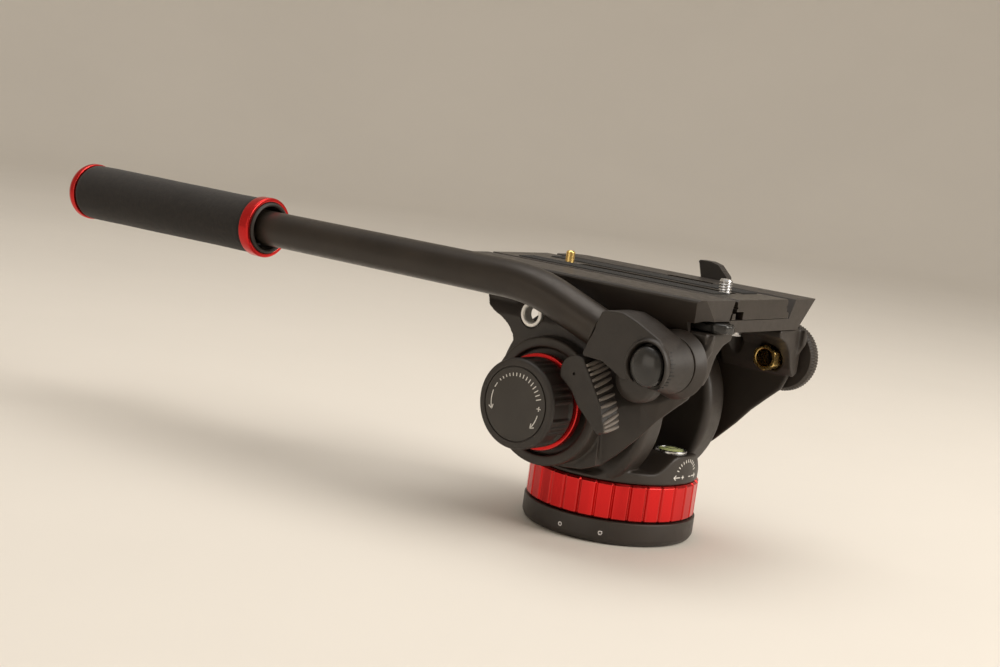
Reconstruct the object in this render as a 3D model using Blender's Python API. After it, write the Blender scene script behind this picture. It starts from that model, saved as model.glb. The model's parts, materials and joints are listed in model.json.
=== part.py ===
"""Video fluid head with a flat base, a sliding camera plate and a pan bar.

Frame: origin on the pan axis in the base's bottom face, +X towards the lens, +Y to the head's left,
+Z up. Sizes below are millimetres; mesh_object() turns them into metres.
"""
import math

import bmesh
import bpy
from mathutils import Matrix, Vector

MM = 0.001
FIT = 0.35                      # running gap between pieces that meet

# base and pan stage
BASE_R = 41.8
BASE_TOP = 11.0
STUD_HOLE_R = 4.8               # 3/8 inch tripod thread
INSERT_R = 9.0
RING_R = 41.0
RING_LOW, RING_TOP = 11.5, 29.0
RING_FLATS = 32
SPINDLE_R = 10.0

# fixed body: a collar with two round uprights
COLLAR_R = 39.6
COLLAR_LOW, COLLAR_RIM, COLLAR_TOP = 29.5, 31.2, 35.5
UPRIGHT_R = 44.0
UPRIGHT_IN, UPRIGHT_OUT = 19.2, 35.7
POCKET_R, POCKET_FLOOR = 25.0, 23.5
LEVEL_X, LEVEL_R, LEVEL_TOP = 30.0, 7.6, 44.2
HUMP_TOP = 43.4
PAN_LOCK_Z = 37.0

# tilting platform
TILT_X, TILT_Z = -8.0, 62.6
AXLE_R = 6.0
ARM_IN, ARM_OUT = 42.6, 48.5
HUB_IN, HUB_R = 36.1, 31.0
BOSS_OUT, BOSS_R = 57.3, 30.0
KNOB_WELL_R = 24.9
ARM_TOP = 107.4
TRAY_X0, TRAY_X1 = -73.4, 66.6
TRAY_LOW, TRAY_FLOOR, TRAY_TOP = 107.8, 113.2, 122.4
TRAY_HALF_TOP, TRAY_HALF_LOW = 54.5, 43.2
PLATE_HALF, PLATE_LOW, PLATE_TOP = 23.8, 113.5, 122.6
SLOT_HALF, CHANNEL_HALF = 3.5, 8.6
SCREW_X, PIN_X = 45.7, -43.0
LOCK_X, LOCK_Z = 8.0, 113.0
RELEASE_X, RELEASE_Y = 50.0, -36.0
BRAKE_X, BRAKE_Z = 17.4, 81.4
KNOB_FACE = 78.0

# rosettes and pan bar
ROSETTE_X, ROSETTE_Z = 54.8, 92.2
BAR_Y, BAR_R = -64.0, 9.0
BAR_SLOPE = math.radians(19.5)
SLOPE_X, SLOPE_Z = 54.5, 91.0   # where the slope's centre line would reach the clamp's nose
SPIGOT_R, SPIGOT_END, TUBE_END = 6.6, 17.0, 32.4     # back along the slope from there
BAR_LEVEL_Z = 116.0
BAR_BEND_R = 95.0
BAR_END_X = -325.0
GRIP_X0, GRIP_X1 = -331.0, -196.0
GRIP_R0, GRIP_R1 = 15.2, 14.5

# fasteners between arms and tray: one column of two on each side
TRAY_SCREW_X = (-46.0, 36.0)
TRAY_SCREW_Y = 33.0
TRAY_SCREW_R = 2.5


def clear_scene():
    for obj in list(bpy.data.objects):
        bpy.data.objects.remove(obj, do_unlink=True)


def material(name, colour, roughness, metallic=0.0):
    mat = bpy.data.materials.new(name)
    mat.use_nodes = True
    shader = mat.node_tree.nodes["Principled BSDF"]
    shader.inputs["Base Color"].default_value = (*colour, 1.0)
    shader.inputs["Roughness"].default_value = roughness
    shader.inputs["Metallic"].default_value = metallic
    mat.diffuse_color = (*colour, 1.0)
    return mat


FINISHES = {
    "black_paint": ((0.018, 0.018, 0.020), 0.45, 0.3),
    "black_plastic": ((0.015, 0.015, 0.016), 0.5, 0.0),
    "grey_label": ((0.05, 0.05, 0.052), 0.5, 0.0),
    "red_anodised": ((0.55, 0.012, 0.018), 0.28, 1.0),
    "black_anodised": ((0.022, 0.022, 0.024), 0.35, 0.8),
    "steel": ((0.62, 0.62, 0.63), 0.25, 1.0),
    "brass": ((0.72, 0.50, 0.16), 0.28, 1.0),
    "foam": ((0.02, 0.019, 0.019), 0.9, 0.0),
    "rubber": ((0.02, 0.02, 0.02), 0.8, 0.0),
    "vial": ((0.75, 0.85, 0.45), 0.1, 0.0),
}


def mesh_object(name, points, faces, finish):
    """A closed mesh from points in millimetres, with its faces turned outwards."""
    bm = bmesh.new()
    verts = [bm.verts.new(Vector(p) * MM) for p in points]
    for face in faces:
        bm.faces.new([verts[i] for i in face])
    bmesh.ops.remove_doubles(bm, verts=bm.verts, dist=1e-7)
    bmesh.ops.recalc_face_normals(bm, faces=bm.faces)
    mesh = bpy.data.meshes.new(name)
    bm.to_mesh(mesh)
    bm.free()
    if mesh.validate():
        raise RuntimeError(f"{name} has faces that don't belong")
    obj = bpy.data.objects.new(name, mesh)
    bpy.context.scene.collection.objects.link(obj)
    mesh.materials.append(MATERIALS[finish])
    mesh.shade_smooth()
    mesh.set_sharp_from_angle(angle=math.radians(32))
    return obj


def arc(cx, cy, radius, start, stop, count):
    """Points on a circle, angles in degrees, both ends included."""
    points = []
    for i in range(count):
        a = math.radians(start + (stop - start) * i / (count - 1))
        points.append((cx + radius * math.cos(a), cy + radius * math.sin(a)))
    return points


def on_axis(axis, u, v, w):
    """A point from two in-plane coordinates and one along the axis."""
    if axis == "X":
        return (w, u, v)
    if axis == "Y":
        return (u, w, v)
    return (u, v, w)


def prism(name, outline, axis, low, high, finish):
    """An outline pulled along one axis: (y, z) along X, (x, z) along Y, (x, y) along Z."""
    n = len(outline)
    points = [on_axis(axis, u, v, low) for u, v in outline]
    points += [on_axis(axis, u, v, high) for u, v in outline]
    faces = [tuple(range(n)), tuple(range(2 * n - 1, n - 1, -1))]
    for i in range(n):
        j = (i + 1) % n
        faces.append((i, j, n + j, n + i))
    return mesh_object(name, points, faces, finish)


def box(name, low, high, finish):
    outline = [(low[0], low[1]), (high[0], low[1]), (high[0], high[1]), (low[0], high[1])]
    return prism(name, outline, "Z", low[2], high[2], finish)


def turned(name, profile, centre, axis, finish, sides=32, stretch=(1.0, 1.0)):
    """A closed (radius, height) profile turned round an axis through centre (two in-plane values)."""
    points, rings = [], []
    for radius, height in profile:
        first = len(points)
        count = 1 if radius == 0 else sides
        for i in range(count):
            a = 2 * math.pi * (i + 0.5) / sides
            u = centre[0] + radius * stretch[0] * math.cos(a)
            v = centre[1] + radius * stretch[1] * math.sin(a)
            points.append(on_axis(axis, u, v, height))
        rings.append((first, count))
    faces = []
    for k, (a0, ca) in enumerate(rings):
        b0, cb = rings[(k + 1) % len(rings)]
        if ca == 1 and cb == 1:
            continue
        for i in range(sides):
            j = (i + 1) % sides
            quad = [a0 + i % ca, a0 + j % ca, b0 + j % cb, b0 + i % cb]
            faces.append(list(dict.fromkeys(quad)))
    return mesh_object(name, points, faces, finish)


def rod(name, radius, low, high, centre, axis, finish, sides=24):
    return turned(name, [(0, low), (radius, low), (radius, high), (0, high)],
                  centre, axis, finish, sides)


def tube(name, inner, outer, low, high, centre, axis, finish, sides=32):
    return turned(name, [(inner, low), (outer, low), (outer, high), (inner, high)],
                  centre, axis, finish, sides)


def combine(obj, others, operation):
    """Cut or join helper solids; the helpers stay hidden in the scene."""
    for other in others:
        modifier = obj.modifiers.new(operation.lower(), "BOOLEAN")
        modifier.operation = operation
        modifier.object = other
        modifier.solver = "EXACT"
        other.hide_render = True
        other.display_type = "WIRE"
    return obj


def cut(obj, *others):
    return combine(obj, others, "DIFFERENCE")


def join(obj, *others):
    return combine(obj, others, "UNION")


def keep_inside(obj, *others):
    return combine(obj, others, "INTERSECT")


def pivot(name, x, y, z, parent=None):
    """An empty on a joint's axis."""
    empty = bpy.data.objects.new(name, None)
    bpy.context.scene.collection.objects.link(empty)
    empty.empty_display_size = 0.02
    here = Vector((x, y, z)) * MM
    empty["at"] = here
    if parent:
        empty.parent = parent
        empty.location = here - Vector(parent["at"])
    else:
        empty.location = here
    return empty


def ride(parent, *objects):
    """Hang objects on a joint's empty without moving them."""
    for obj in objects:
        obj.data.transform(Matrix.Translation(-Vector(parent["at"])))
        obj.parent = parent


# ---------------------------------------------------------------- base

def make_base():
    disc = turned("base_disc", [
        (INSERT_R + FIT, 0), (40.0, 0), (41.2, 0.7), (BASE_R, 2.2), (BASE_R, 10.3),
        (41.2, BASE_TOP), (INSERT_R + FIT, BASE_TOP)], (0, 0), "Z", "black_paint", 48)
    insert = turned("thread_insert", [
        (0, 8.0), (STUD_HOLE_R, 8.0), (STUD_HOLE_R, 0.6), (5.4, 0), (INSERT_R, 0), (INSERT_R, 10.4),
        (0, 10.4)], (0, 0), "Z", "steel", 24)
    spindle = turned("pan_spindle", [
        (0, BASE_TOP + FIT), (30.0, BASE_TOP + FIT), (30.0, 14.2), (SPINDLE_R, 14.2),
        (SPINDLE_R, 38.0), (0, 38.0)], (0, 0), "Z", "steel", 24)
    nut = prism("pan_nut", arc(0, 0, 15.0, 0, 300, 6), "Z", COLLAR_TOP + FIT, 37.6, "steel")
    cut(nut, rod("pan_nut_bore", SPINDLE_R + FIT, 30, 42, (0, 0), "Z", "steel"))
    return [disc, insert, spindle, nut]


def make_pan_ring():
    """Drag ring with one flat per side of the polygon."""
    corner = RING_R / math.cos(math.pi / RING_FLATS)
    return turned("pan_drag_ring", [
        (32.8, RING_LOW), (corner - 0.6, RING_LOW), (corner, RING_LOW + 0.6),
        (corner, RING_TOP - 0.9), (corner - 0.9, RING_TOP), (32.8, RING_TOP)],
        (0, 0), "Z", "red_anodised", RING_FLATS)


# ---------------------------------------------------------------- fixed body on the pan axis

def upright_outline():
    """Round wall about the tilt axis, with a straight rear foot."""
    foot = COLLAR_LOW + FIT
    reach = math.sqrt(UPRIGHT_R ** 2 - (TILT_Z - foot) ** 2)
    start = math.degrees(math.atan2(foot - TILT_Z, reach))
    return arc(TILT_X, TILT_Z, UPRIGHT_R, start, 205, 30) + [(-36.0, foot)]


def make_housing():
    housing = turned("pan_housing", [
        (SPINDLE_R + 1.6, COLLAR_LOW), (COLLAR_R - 0.5, COLLAR_LOW), (COLLAR_R, COLLAR_LOW + 0.5),
        (COLLAR_R, COLLAR_RIM), (SPINDLE_R + 1.6, COLLAR_RIM)], (0, 0), "Z", "black_paint", 48)
    deck = turned("deck", [
        (SPINDLE_R + 1.6, COLLAR_LOW + 0.8), (COLLAR_R - 0.1, COLLAR_LOW + 0.8), (COLLAR_R - 0.1, 34.3),
        (COLLAR_R - 1.4, COLLAR_TOP), (SPINDLE_R + 1.6, COLLAR_TOP)], (0, 0), "Z", "black_paint", 48)
    keep_inside(deck, box("deck_sides", (-60, -UPRIGHT_OUT, 20), (60, UPRIGHT_OUT, 60), "black_paint"))
    hump = turned("level_hump", [
        (0, 30.6), (10.4, 30.6), (19.0, 33.0), (14.5, 35.6), (12.2, 38.2), (11.0, 41.0),
        (10.4, HUMP_TOP - 0.6), (9.8, HUMP_TOP), (LEVEL_R + FIT, HUMP_TOP), (LEVEL_R + FIT, 36.0), (0, 36.0)],
        (LEVEL_X, 0), "Z", "black_paint", 28)
    keep_inside(hump, rod("hump_front", 40.6, 20, 60, (0, 0), "Z", "black_paint", 48))
    boss = rod("pan_lock_boss", 6.2, -40.2, -22, (0, PAN_LOCK_Z), "X", "black_paint")
    join(housing, deck, hump, boss)
    for side in (-1, 1):
        low, high = sorted((side * UPRIGHT_IN, side * UPRIGHT_OUT))
        join(housing, prism("upright", upright_outline(), "Y", low, high, "black_paint"))
    for side in (-1, 1):
        low, high = sorted((side * POCKET_FLOOR, side * (UPRIGHT_OUT + 5)))
        cut(housing, rod("cartridge_pocket", POCKET_R, low, high, (TILT_X, TILT_Z), "Y", "black_paint", 32))
    cut(housing,
        rod("axle_bore", AXLE_R + FIT, -45, 45, (TILT_X, TILT_Z), "Y", "black_paint"),
        rod("pan_lock_bore", 3.35, -50, -24, (0, PAN_LOCK_Z), "X", "black_paint", 16))
    return housing


def make_coil(name, centre, radius, wire, low, high, turns, finish):
    """A helical wire about the tilt axis, with flat ends."""
    steps, sides = 14 * turns, 5
    points = []
    for i in range(steps + 1):
        a = 2 * math.pi * turns * i / steps
        y = low + wire + (high - low - 2 * wire) * i / steps
        for k in range(sides):
            b = 2 * math.pi * k / sides
            r = radius + wire * math.cos(b)
            points.append((centre[0] + r * math.cos(a), y + wire * math.sin(b), centre[1] + r * math.sin(a)))
    faces = [tuple(range(sides)), tuple(range(steps * sides, (steps + 1) * sides))]
    for i in range(steps):
        for k in range(sides):
            m = (k + 1) % sides
            faces.append((i * sides + k, i * sides + m, (i + 1) * sides + m, (i + 1) * sides + k))
    return mesh_object(name, points, faces, finish)


def make_pan_parts():
    axis = (TILT_X, TILT_Z)
    cartridge = tube("pan_drag_cartridge", SPINDLE_R + FIT, 31.5, 14.6, 24.6, (0, 0), "Z", "black_anodised")
    bearing = tube("pan_bearing", SPINDLE_R + FIT, 19.0, 24.9, COLLAR_LOW - FIT, (0, 0), "Z", "steel", 24)
    level = turned("level_cup", [
        (0, 36.4), (LEVEL_R, 36.4), (LEVEL_R, LEVEL_TOP), (6.4, LEVEL_TOP), (6.4, 40.0), (0, 40.0)],
        (LEVEL_X, 0), "Z", "steel", 24)
    vial = turned("level_vial", [
        (0, 40.3), (6.05, 40.3), (6.05, 44.0), (4.0, 44.8), (0, 45.1)], (LEVEL_X, 0), "Z", "vial", 24)
    axle = rod("tilt_axle", AXLE_R, -49.8, 46.8, axis, "Y", "steel")
    drag = tube("tilt_drag_cartridge", AXLE_R + FIT, 24.4, -35.4, -24.0, axis, "Y", "black_anodised")
    drum = tube("spring_drum", AXLE_R + FIT, 10.5, 24.0, 35.4, axis, "Y", "black_anodised", 24)
    spring = make_coil("counterbalance_spring", axis, 17.0, 1.5, 24.2, 35.2, 3, "steel")
    return [make_housing(), cartridge, bearing, level, vial, axle, drag, drum, spring]


def make_pan_lock():
    """T-shaped lock knob on a radial screw at the rear."""
    knob = turned("pan_lock_knob", [
        (0, -50.4), (4.6, -50.4), (6.4, -49.4), (7.0, -47.0), (7.0, -41.8), (6.4, -40.6), (0, -40.6)],
        (0, PAN_LOCK_Z), "X", "black_plastic", 20)
    wing = prism("lock_wing", [(-15, 35.2), (-13.5, 34), (13.5, 34), (15, 35.2), (15, 38.8),
                               (13.5, 40), (-13.5, 40), (-15, 38.8)], "X", -49.6, -44.0, "black_plastic")
    join(knob, wing)
    screw = rod("pan_lock_screw", 3.0, -40.3, -25.5, (0, PAN_LOCK_Z), "X", "steel", 16)
    return [knob, screw]


# ---------------------------------------------------------------- tilting platform

def arm_outline():
    """Side wall: ear at the rear, round hub below, diagonal front edge."""
    ear = [(68.6, ARM_TOP), (-57.0, ARM_TOP), (-57.0, 104.5), (-54.0, 99.6), (-45.0, 96.0)]
    neck = arc(-46.5, 85.5, 10.5, 60, -15, 6)
    hub = arc(TILT_X, TILT_Z, BOSS_R, 168, 270, 12)
    foot = [(12.0, TILT_Z - BOSS_R), (17.0, 34.6)]
    front = [(28.6, 46.0), (46.0, 63.5), (59.4, 77.2), (62.0, 82.0), (65.0, 93.0), (68.2, 100.0)]
    return ear + neck + hub + foot + front


def gusset_outlines(side):
    """Flanges under the tray, thinning down into the wall: a deep front one and a shallow rear one."""
    flange = [(29.5, 102.0), (23.6, 103.8), (22.4, ARM_TOP), (43.6, ARM_TOP)]
    front = [(43.6, 88.0), (41.2, 88.0), (38.5, 93.0), (35.5, 98.0)]
    rear = [(43.6, 100.6), (38.0, 100.6)]
    return [[(side * y, z) for y, z in flange + web] for web in (front, rear)]


def make_arm(name, side):
    def span(a, b):
        return sorted((side * a, side * b))
    axis = (TILT_X, TILT_Z)
    arm = prism(name, arm_outline(), "Y", *span(ARM_IN, ARM_OUT), "black_paint")
    front_web, rear_web = gusset_outlines(side)
    join(arm, rod("hub", HUB_R, *span(HUB_IN, ARM_IN + 1), axis, "Y", "black_paint", 36),
         prism("front_gusset", front_web, "X", 29.0, 65.6, "black_paint"),
         prism("rear_gusset", rear_web, "X", -53.6, -38.0, "black_paint"))
    lean = [(side * y, z) for y, z in ((43.4, 108.4), (60, 108.4), (60, 98.0), (48.6, 98.0))]
    cut(arm, prism("top_lean", lean, "X", -90, 90, "black_paint"))
    if side < 0:
        join(arm, rod("knob_boss", BOSS_R, *span(ARM_OUT - 1, BOSS_OUT), axis, "Y", "black_paint", 40))
        cut(arm, rod("knob_well", KNOB_WELL_R, *span(53.6, 70), axis, "Y", "black_paint", 40),
            rod("knob_shaft_bore", 9.4, *span(50.2, 70), axis, "Y", "black_paint"),
            rod("axle_seat", AXLE_R + FIT, *span(30, 60), axis, "Y", "black_paint"),
            rod("brake_bore", 3.35, *span(30, 70), (BRAKE_X, BRAKE_Z), "Y", "black_paint", 20))
    else:
        cut(arm, rod("axle_seat", AXLE_R + FIT, *span(30, 47.2), axis, "Y", "black_paint"))
    cut(arm, rod("rosette_bore", 4.4, *span(30, 60), (ROSETTE_X, ROSETTE_Z), "Y", "black_paint"),
        rod("nut_seat", 6.55, *span(20, 42.5), (ROSETTE_X, ROSETTE_Z), "Y", "black_paint", 20),
        rod("insert_seat", 6.35, *span(30, 60), (-27.0, 99.6), "Y", "black_paint", 20))
    for x in TRAY_SCREW_X:
        spot = (x, side * TRAY_SCREW_Y)
        cut(arm, rod("screw_bore", TRAY_SCREW_R + FIT, 90, 120, spot, "Z", "black_paint", 16),
            rod("head_seat", 4.6, 80, 103.9, spot, "Z", "black_paint", 16))
    return arm


def tray_outline():
    """Front view: sloping sides, an undercut right rail and an open left one."""
    return [(-TRAY_HALF_LOW, TRAY_LOW), (TRAY_HALF_LOW, TRAY_LOW), (TRAY_HALF_TOP, TRAY_TOP - 0.8),
            (TRAY_HALF_TOP - 0.8, TRAY_TOP), (31.7, TRAY_TOP), (26.9, TRAY_FLOOR), (-29.6, TRAY_FLOOR),
            (-26.3, TRAY_TOP), (-TRAY_HALF_TOP + 0.8, TRAY_TOP), (-TRAY_HALF_TOP, TRAY_TOP - 0.8)]


def make_tray():
    tray = prism("platform_tray", tray_outline(), "X", TRAY_X0, TRAY_X1, "black_paint")
    trim = 8.0
    for sx, x in ((1, TRAY_X1), (-1, TRAY_X0)):
        for sy in (-1, 1):
            corner = [(x + sx, sy * (TRAY_HALF_TOP + 1)), (x - sx * trim, sy * (TRAY_HALF_TOP + 1)),
                      (x + sx, sy * (TRAY_HALF_TOP - trim))]
            cut(tray, prism("corner_trim", corner, "Z", 100, 130, "black_paint"))
    pocket = [(-27.0, 107.0), (-27.0, 111.0), (-31.0, 112.9), (-46.0, 112.9), (-52.0, 110.5), (-58.0, 107.0)]
    cut(tray, prism("release_pocket", pocket, "X", 44.0, 70.0, "black_paint"),
        box("shoe_pocket", (-5.0, 24.5, 116.2), (21.0, 34.0, 130.0), "black_paint"),
        rod("lock_bore", 3.35, 30.0, 60.0, (LOCK_X, LOCK_Z + 5.2), "Y", "black_paint", 20),
        rod("release_bore", 2.4, 100.0, 116.0, (RELEASE_X, RELEASE_Y), "Z", "black_paint", 16))
    for x in TRAY_SCREW_X:
        for side in (-1, 1):
            cut(tray, rod("screw_hole", TRAY_SCREW_R + FIT, 100, 116.5, (x, side * TRAY_SCREW_Y), "Z",
                          "black_paint", 16))
    return tray


def make_tray_screws():
    """Four socket screws from below."""
    screws = []
    for end, x in zip(("rear", "front"), TRAY_SCREW_X):
        for word, side in (("right", -1), ("left", 1)):
            profile = [(0, 99.4), (4.2, 99.4), (4.2, 103.5), (TRAY_SCREW_R, 103.5), (TRAY_SCREW_R, 116.0),
                       (0, 116.0)]
            spot = (x, side * TRAY_SCREW_Y)
            screws.append(turned(f"{end}_{word}_tray_screw", profile, spot, "Z", "steel", 12))
    return screws


def make_inserts():
    """Threaded accessory sockets in the ears."""
    nodes = []
    for name, side in (("right_accessory_socket", -1), ("left_accessory_socket", 1)):
        low, high = sorted((side * (ARM_IN + 0.2), side * (ARM_OUT + 0.1)))
        nodes.append(tube(name, 4.4, 6.0, low, high, (-27.0, 99.6), "Y", "steel", 20))
    return nodes


def make_rosettes():
    centre = (ROSETTE_X, ROSETTE_Z)
    skirt = turned("right_rosette", [
        (4.4, -ARM_OUT - FIT), (15.6, -ARM_OUT - FIT), (15.2, -49.8), (13.2, -53.4), (12.8, -54.4),
        (4.4, -54.4)],
        centre, "Y", "black_paint", 40)
    disc = turned("left_rosette", [
        (4.4, ARM_OUT + FIT), (15.6, ARM_OUT + FIT), (17.0, 50.2), (17.0, 54.6), (16.2, 55.4), (4.4, 55.4)],
        centre, "Y", "black_paint", 40)
    plug = turned("left_rosette_plug", [
        (0, 44.0), (4.0, 44.0), (4.0, 55.7), (10.6, 55.7), (10.6, 56.5), (9.6, 57.3), (0, 57.3)],
        centre, "Y", "black_plastic", 24)
    nuts = []
    for name, side in (("right_rosette_nut", -1), ("left_rosette_nut", 1)):
        low, high = sorted((side * 31.0, side * (ARM_IN - 0.3)))
        nuts.append(tube(name, 4.35, 6.2, low, high, centre, "Y", "brass", 20))
    return [skirt, disc, plug] + nuts


def make_hub_cap():
    return turned("left_hub_cap", [
        (0, ARM_OUT + FIT), (24.0, ARM_OUT + FIT), (24.0, 50.2), (22.6, 51.6), (16.0, 52.2), (0, 52.2)],
        (TILT_X, TILT_Z), "Y", "black_plastic", 32)


# ---------------------------------------------------------------- controls on the platform

def make_tilt_knob():
    axis = (TILT_X, TILT_Z)
    knob = turned("tilt_drag_knob", [
        (0, -77.2), (17.2, -77.2), (17.4, -KNOB_FACE), (18.8, -KNOB_FACE), (20.6, -76.2), (20.8, -69.0),
        (20.8, -61.0), (8.6, -61.0), (8.6, -50.6), (0, -50.6)], axis, "Y", "black_plastic", 36)
    ring = tube("tilt_drag_ring", 9.0, 22.4, -60.7, -57.0, axis, "Y", "red_anodised", 40)
    label = rod("tilt_knob_label", 16.8, -77.9, -77.5, axis, "Y", "grey_label", 32)
    return [knob, ring, label]


def make_tilt_lock():
    """Lever head over the brake screw, with a thick ribbed grip."""
    head = arc(BRAKE_X, BRAKE_Z, 8.1, 98, 215, 10)
    grip = [(16.9, 74.6), (21.5, 67.8), (29.6, 61.2), (33.9, 57.3), (37.8, 60.4), (35.4, 68.0), (32.8, 74.0),
            (29.4, 81.8), (26.6, 87.0), (24.0, 88.6)]
    lever = prism("tilt_lock_lever", head + grip, "Y", -72.0, -61.4, "black_plastic")
    neck = rod("lever_neck", 4.8, -62.0, -57.7, (BRAKE_X, BRAKE_Z), "Y", "black_plastic", 20)
    join(lever, neck)
    cut(lever, rod("lever_bore", 3.3, -68.0, -50, (BRAKE_X, BRAKE_Z), "Y", "black_plastic", 16))
    screw = rod("tilt_lock_screw", 3.0, -67.6, -36.4, (BRAKE_X, BRAKE_Z), "Y", "steel", 16)
    return [lever, screw]


def make_plate_lock():
    """Screw lever on the left rail, its fin standing above the tray."""
    z = LOCK_Z + 5.2
    outline = arc(LOCK_X, z, 7.0, 180, 350, 10) + [(14.2, 121.0), (15.0, 124.0), (9.0, 129.6), (4.5, 130.8),
                                                   (-2.0, 130.8), (-2.8, 130.0)]
    lever = prism("plate_lock_lever", outline, "Y", 55.4, 60.6, "black_plastic")
    cut(lever, rod("lever_hole", 3.3, 50, 59.0, (LOCK_X, z), "Y", "black_plastic", 16))
    screw = rod("plate_lock_screw", 3.0, 33.4, 58.6, (LOCK_X, z), "Y", "steel", 16)
    return [lever, screw]


def make_shoe():
    outline = [(26.4, 116.6), (31.0, 116.6), (32.2, 121.9), (24.4, 121.9)]
    return prism("plate_lock_shoe", outline, "X", -4.0, 20.0, "black_anodised")


def make_release():
    """Safety catch under the right front corner, turning on a small pin."""
    outline = (arc(RELEASE_X, RELEASE_Y, 4.6, 100, 260, 8) + [(60.0, -41.5), (67.1, -41.2), (71.5, -38.6),
               (72.4, -34.6), (71.5, -30.6), (67.1, -28.6), (60.0, -30.0)])
    lever = prism("plate_release_lever", outline, "Z", 108.1, 111.3, "black_plastic")
    tip = prism("release_tip", outline[9:14], "Z", 107.7, 112.5, "black_plastic")
    join(lever, tip)
    cut(lever, rod("release_hole", 2.4, 100, 120, (RELEASE_X, RELEASE_Y), "Z", "black_plastic", 16))
    pin = rod("release_pin", 2.0, 108.4, 115.6, (RELEASE_X, RELEASE_Y), "Z", "steel", 12)
    return [lever], pin


# ---------------------------------------------------------------- sliding camera plate

def make_plate():
    outline = [(-27.6, PLATE_LOW), (25.9, PLATE_LOW), (25.9, 116.2), (PLATE_HALF, 116.2),
               (PLATE_HALF, PLATE_TOP - 0.5), (PLATE_HALF - 0.5, PLATE_TOP), (-PLATE_HALF + 0.5, PLATE_TOP),
               (-PLATE_HALF, PLATE_TOP - 0.5), (-PLATE_HALF, 116.2), (-27.0, 116.2)]
    plate = prism("camera_plate", outline, "X", TRAY_X0, TRAY_X1, "black_anodised")
    slot = ([(x, y) for x, y in arc(48.0, 0, SLOT_HALF, -90, 90, 9)]
            + [(x, y) for x, y in arc(-33.0, 0, SLOT_HALF, 90, 270, 9)])
    channel = arc(47.0, 0, CHANNEL_HALF, -90, 90, 9) + arc(-29.0, 0, CHANNEL_HALF, 90, 270, 9)
    cut(plate, prism("slot", slot, "Z", 100, 130, "black_anodised"),
        prism("channel", channel, "Z", 100, 117.6, "black_anodised"),
        turned("pin_bore", [(0, 100), (3.9, 100), (3.9, 120.9), (2.55, 120.9), (2.55, 130), (0, 130)],
               (PIN_X, 0), "Z", "black_anodised", 20),
        box("catch_notch", (60.0, -24.5, 113.0), (68.0, -17.7, 117.1), "black_anodised"))
    for side in (-1, 1):
        low, high = sorted((side * 6.8, side * 20.6))
        cut(plate, box("pad_seat", (-60.0, low, 121.8), (52.0, high, 125.0), "black_anodised"))
    pads = []
    for name, side in (("right_plate_pad", -1), ("left_plate_pad", 1)):
        low, high = sorted((side * 7.2, side * 20.2))
        pads.append(box(name, (-59.6, low, 122.1), (51.6, high, 123.0), "rubber"))
    return [plate] + pads


def make_camera_screw():
    """Quarter-inch screw with a wide slotted head under the plate."""
    return turned("camera_screw", [
        (0, 113.9), (7.4, 113.9), (7.8, 114.5), (7.8, 116.6), (7.4, 117.1), (3.15, 117.1), (3.15, 127.9),
        (2.5, 128.5), (0, 128.5)], (SCREW_X, 0), "Z", "steel", 20)


def make_pin():
    return turned("locating_pin", [
        (0, 119.4), (3.5, 119.4), (3.5, 120.4), (2.2, 120.4), (2.2, 127.6), (1.7, 128.1), (0, 128.1)],
        (PIN_X, 0), "Z", "brass", 16)


# ---------------------------------------------------------------- pan bar

def clamp_outline():
    """Clamp body: oval nose at the rosette and a square face for the tube at the rear."""
    nose = []
    for i in range(13):
        a = math.radians(-85 + 160 * i / 12)
        nose.append((ROSETTE_X + 8.6 * math.cos(a), ROSETTE_Z + 2.2 + 11.2 * math.sin(a)))
    top = [(46.6, 110.1), (38.8, 112.8), (31.0, 112.4), (28.0, 111.4)]
    rear = [(20.4, 90.3), (31.5, 89.8), (44.1, 83.4)]
    return nose + top + rear


def bar_axis_points():
    """Centre line in the bar's plane: up the clamp's slope, round the bend, then level."""
    slope = [(SLOPE_X - t * math.cos(BAR_SLOPE), SLOPE_Z + t * math.sin(BAR_SLOPE))
             for t in (SPIGOT_END, TUBE_END, TUBE_END)]
    corner_x = SLOPE_X - (BAR_LEVEL_Z - SLOPE_Z) / math.tan(BAR_SLOPE)
    reach = BAR_BEND_R * math.tan(BAR_SLOPE / 2)
    centre = (corner_x - reach, BAR_LEVEL_Z - BAR_BEND_R)
    bend = arc(*centre, BAR_BEND_R, 90 - math.degrees(BAR_SLOPE), 90, 7)
    return slope + bend + [(-120.0, BAR_LEVEL_Z), (BAR_END_X, BAR_LEVEL_Z)]


def make_tube():
    """The bar as rings of points square to its centre line, with a thinner end in the clamp."""
    path, sides = bar_axis_points(), 18
    points = []
    for i, (x, z) in enumerate(path):
        radius = SPIGOT_R if i < 2 else BAR_R
        before, after = path[max(i - 1, 0)], path[min(i + 1, len(path) - 1)]
        along = Vector((after[0] - before[0], 0, after[1] - before[1])).normalized()
        across = Vector((-along.z, 0, along.x))
        for k in range(sides):
            a = 2 * math.pi * k / sides
            points.append(tuple(Vector((x, BAR_Y, z)) + across * (radius * math.cos(a))
                                + Vector((0, radius * math.sin(a), 0))))
    last = (len(path) - 1) * sides
    faces = [tuple(range(sides)), tuple(range(last, last + sides))]
    for i in range(len(path) - 1):
        for k in range(sides):
            m = (k + 1) % sides
            here, there = i * sides, (i + 1) * sides
            faces.append((here + k, here + m, there + m, there + k))
    return mesh_object("pan_bar_tube", points, faces, "black_anodised")


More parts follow.
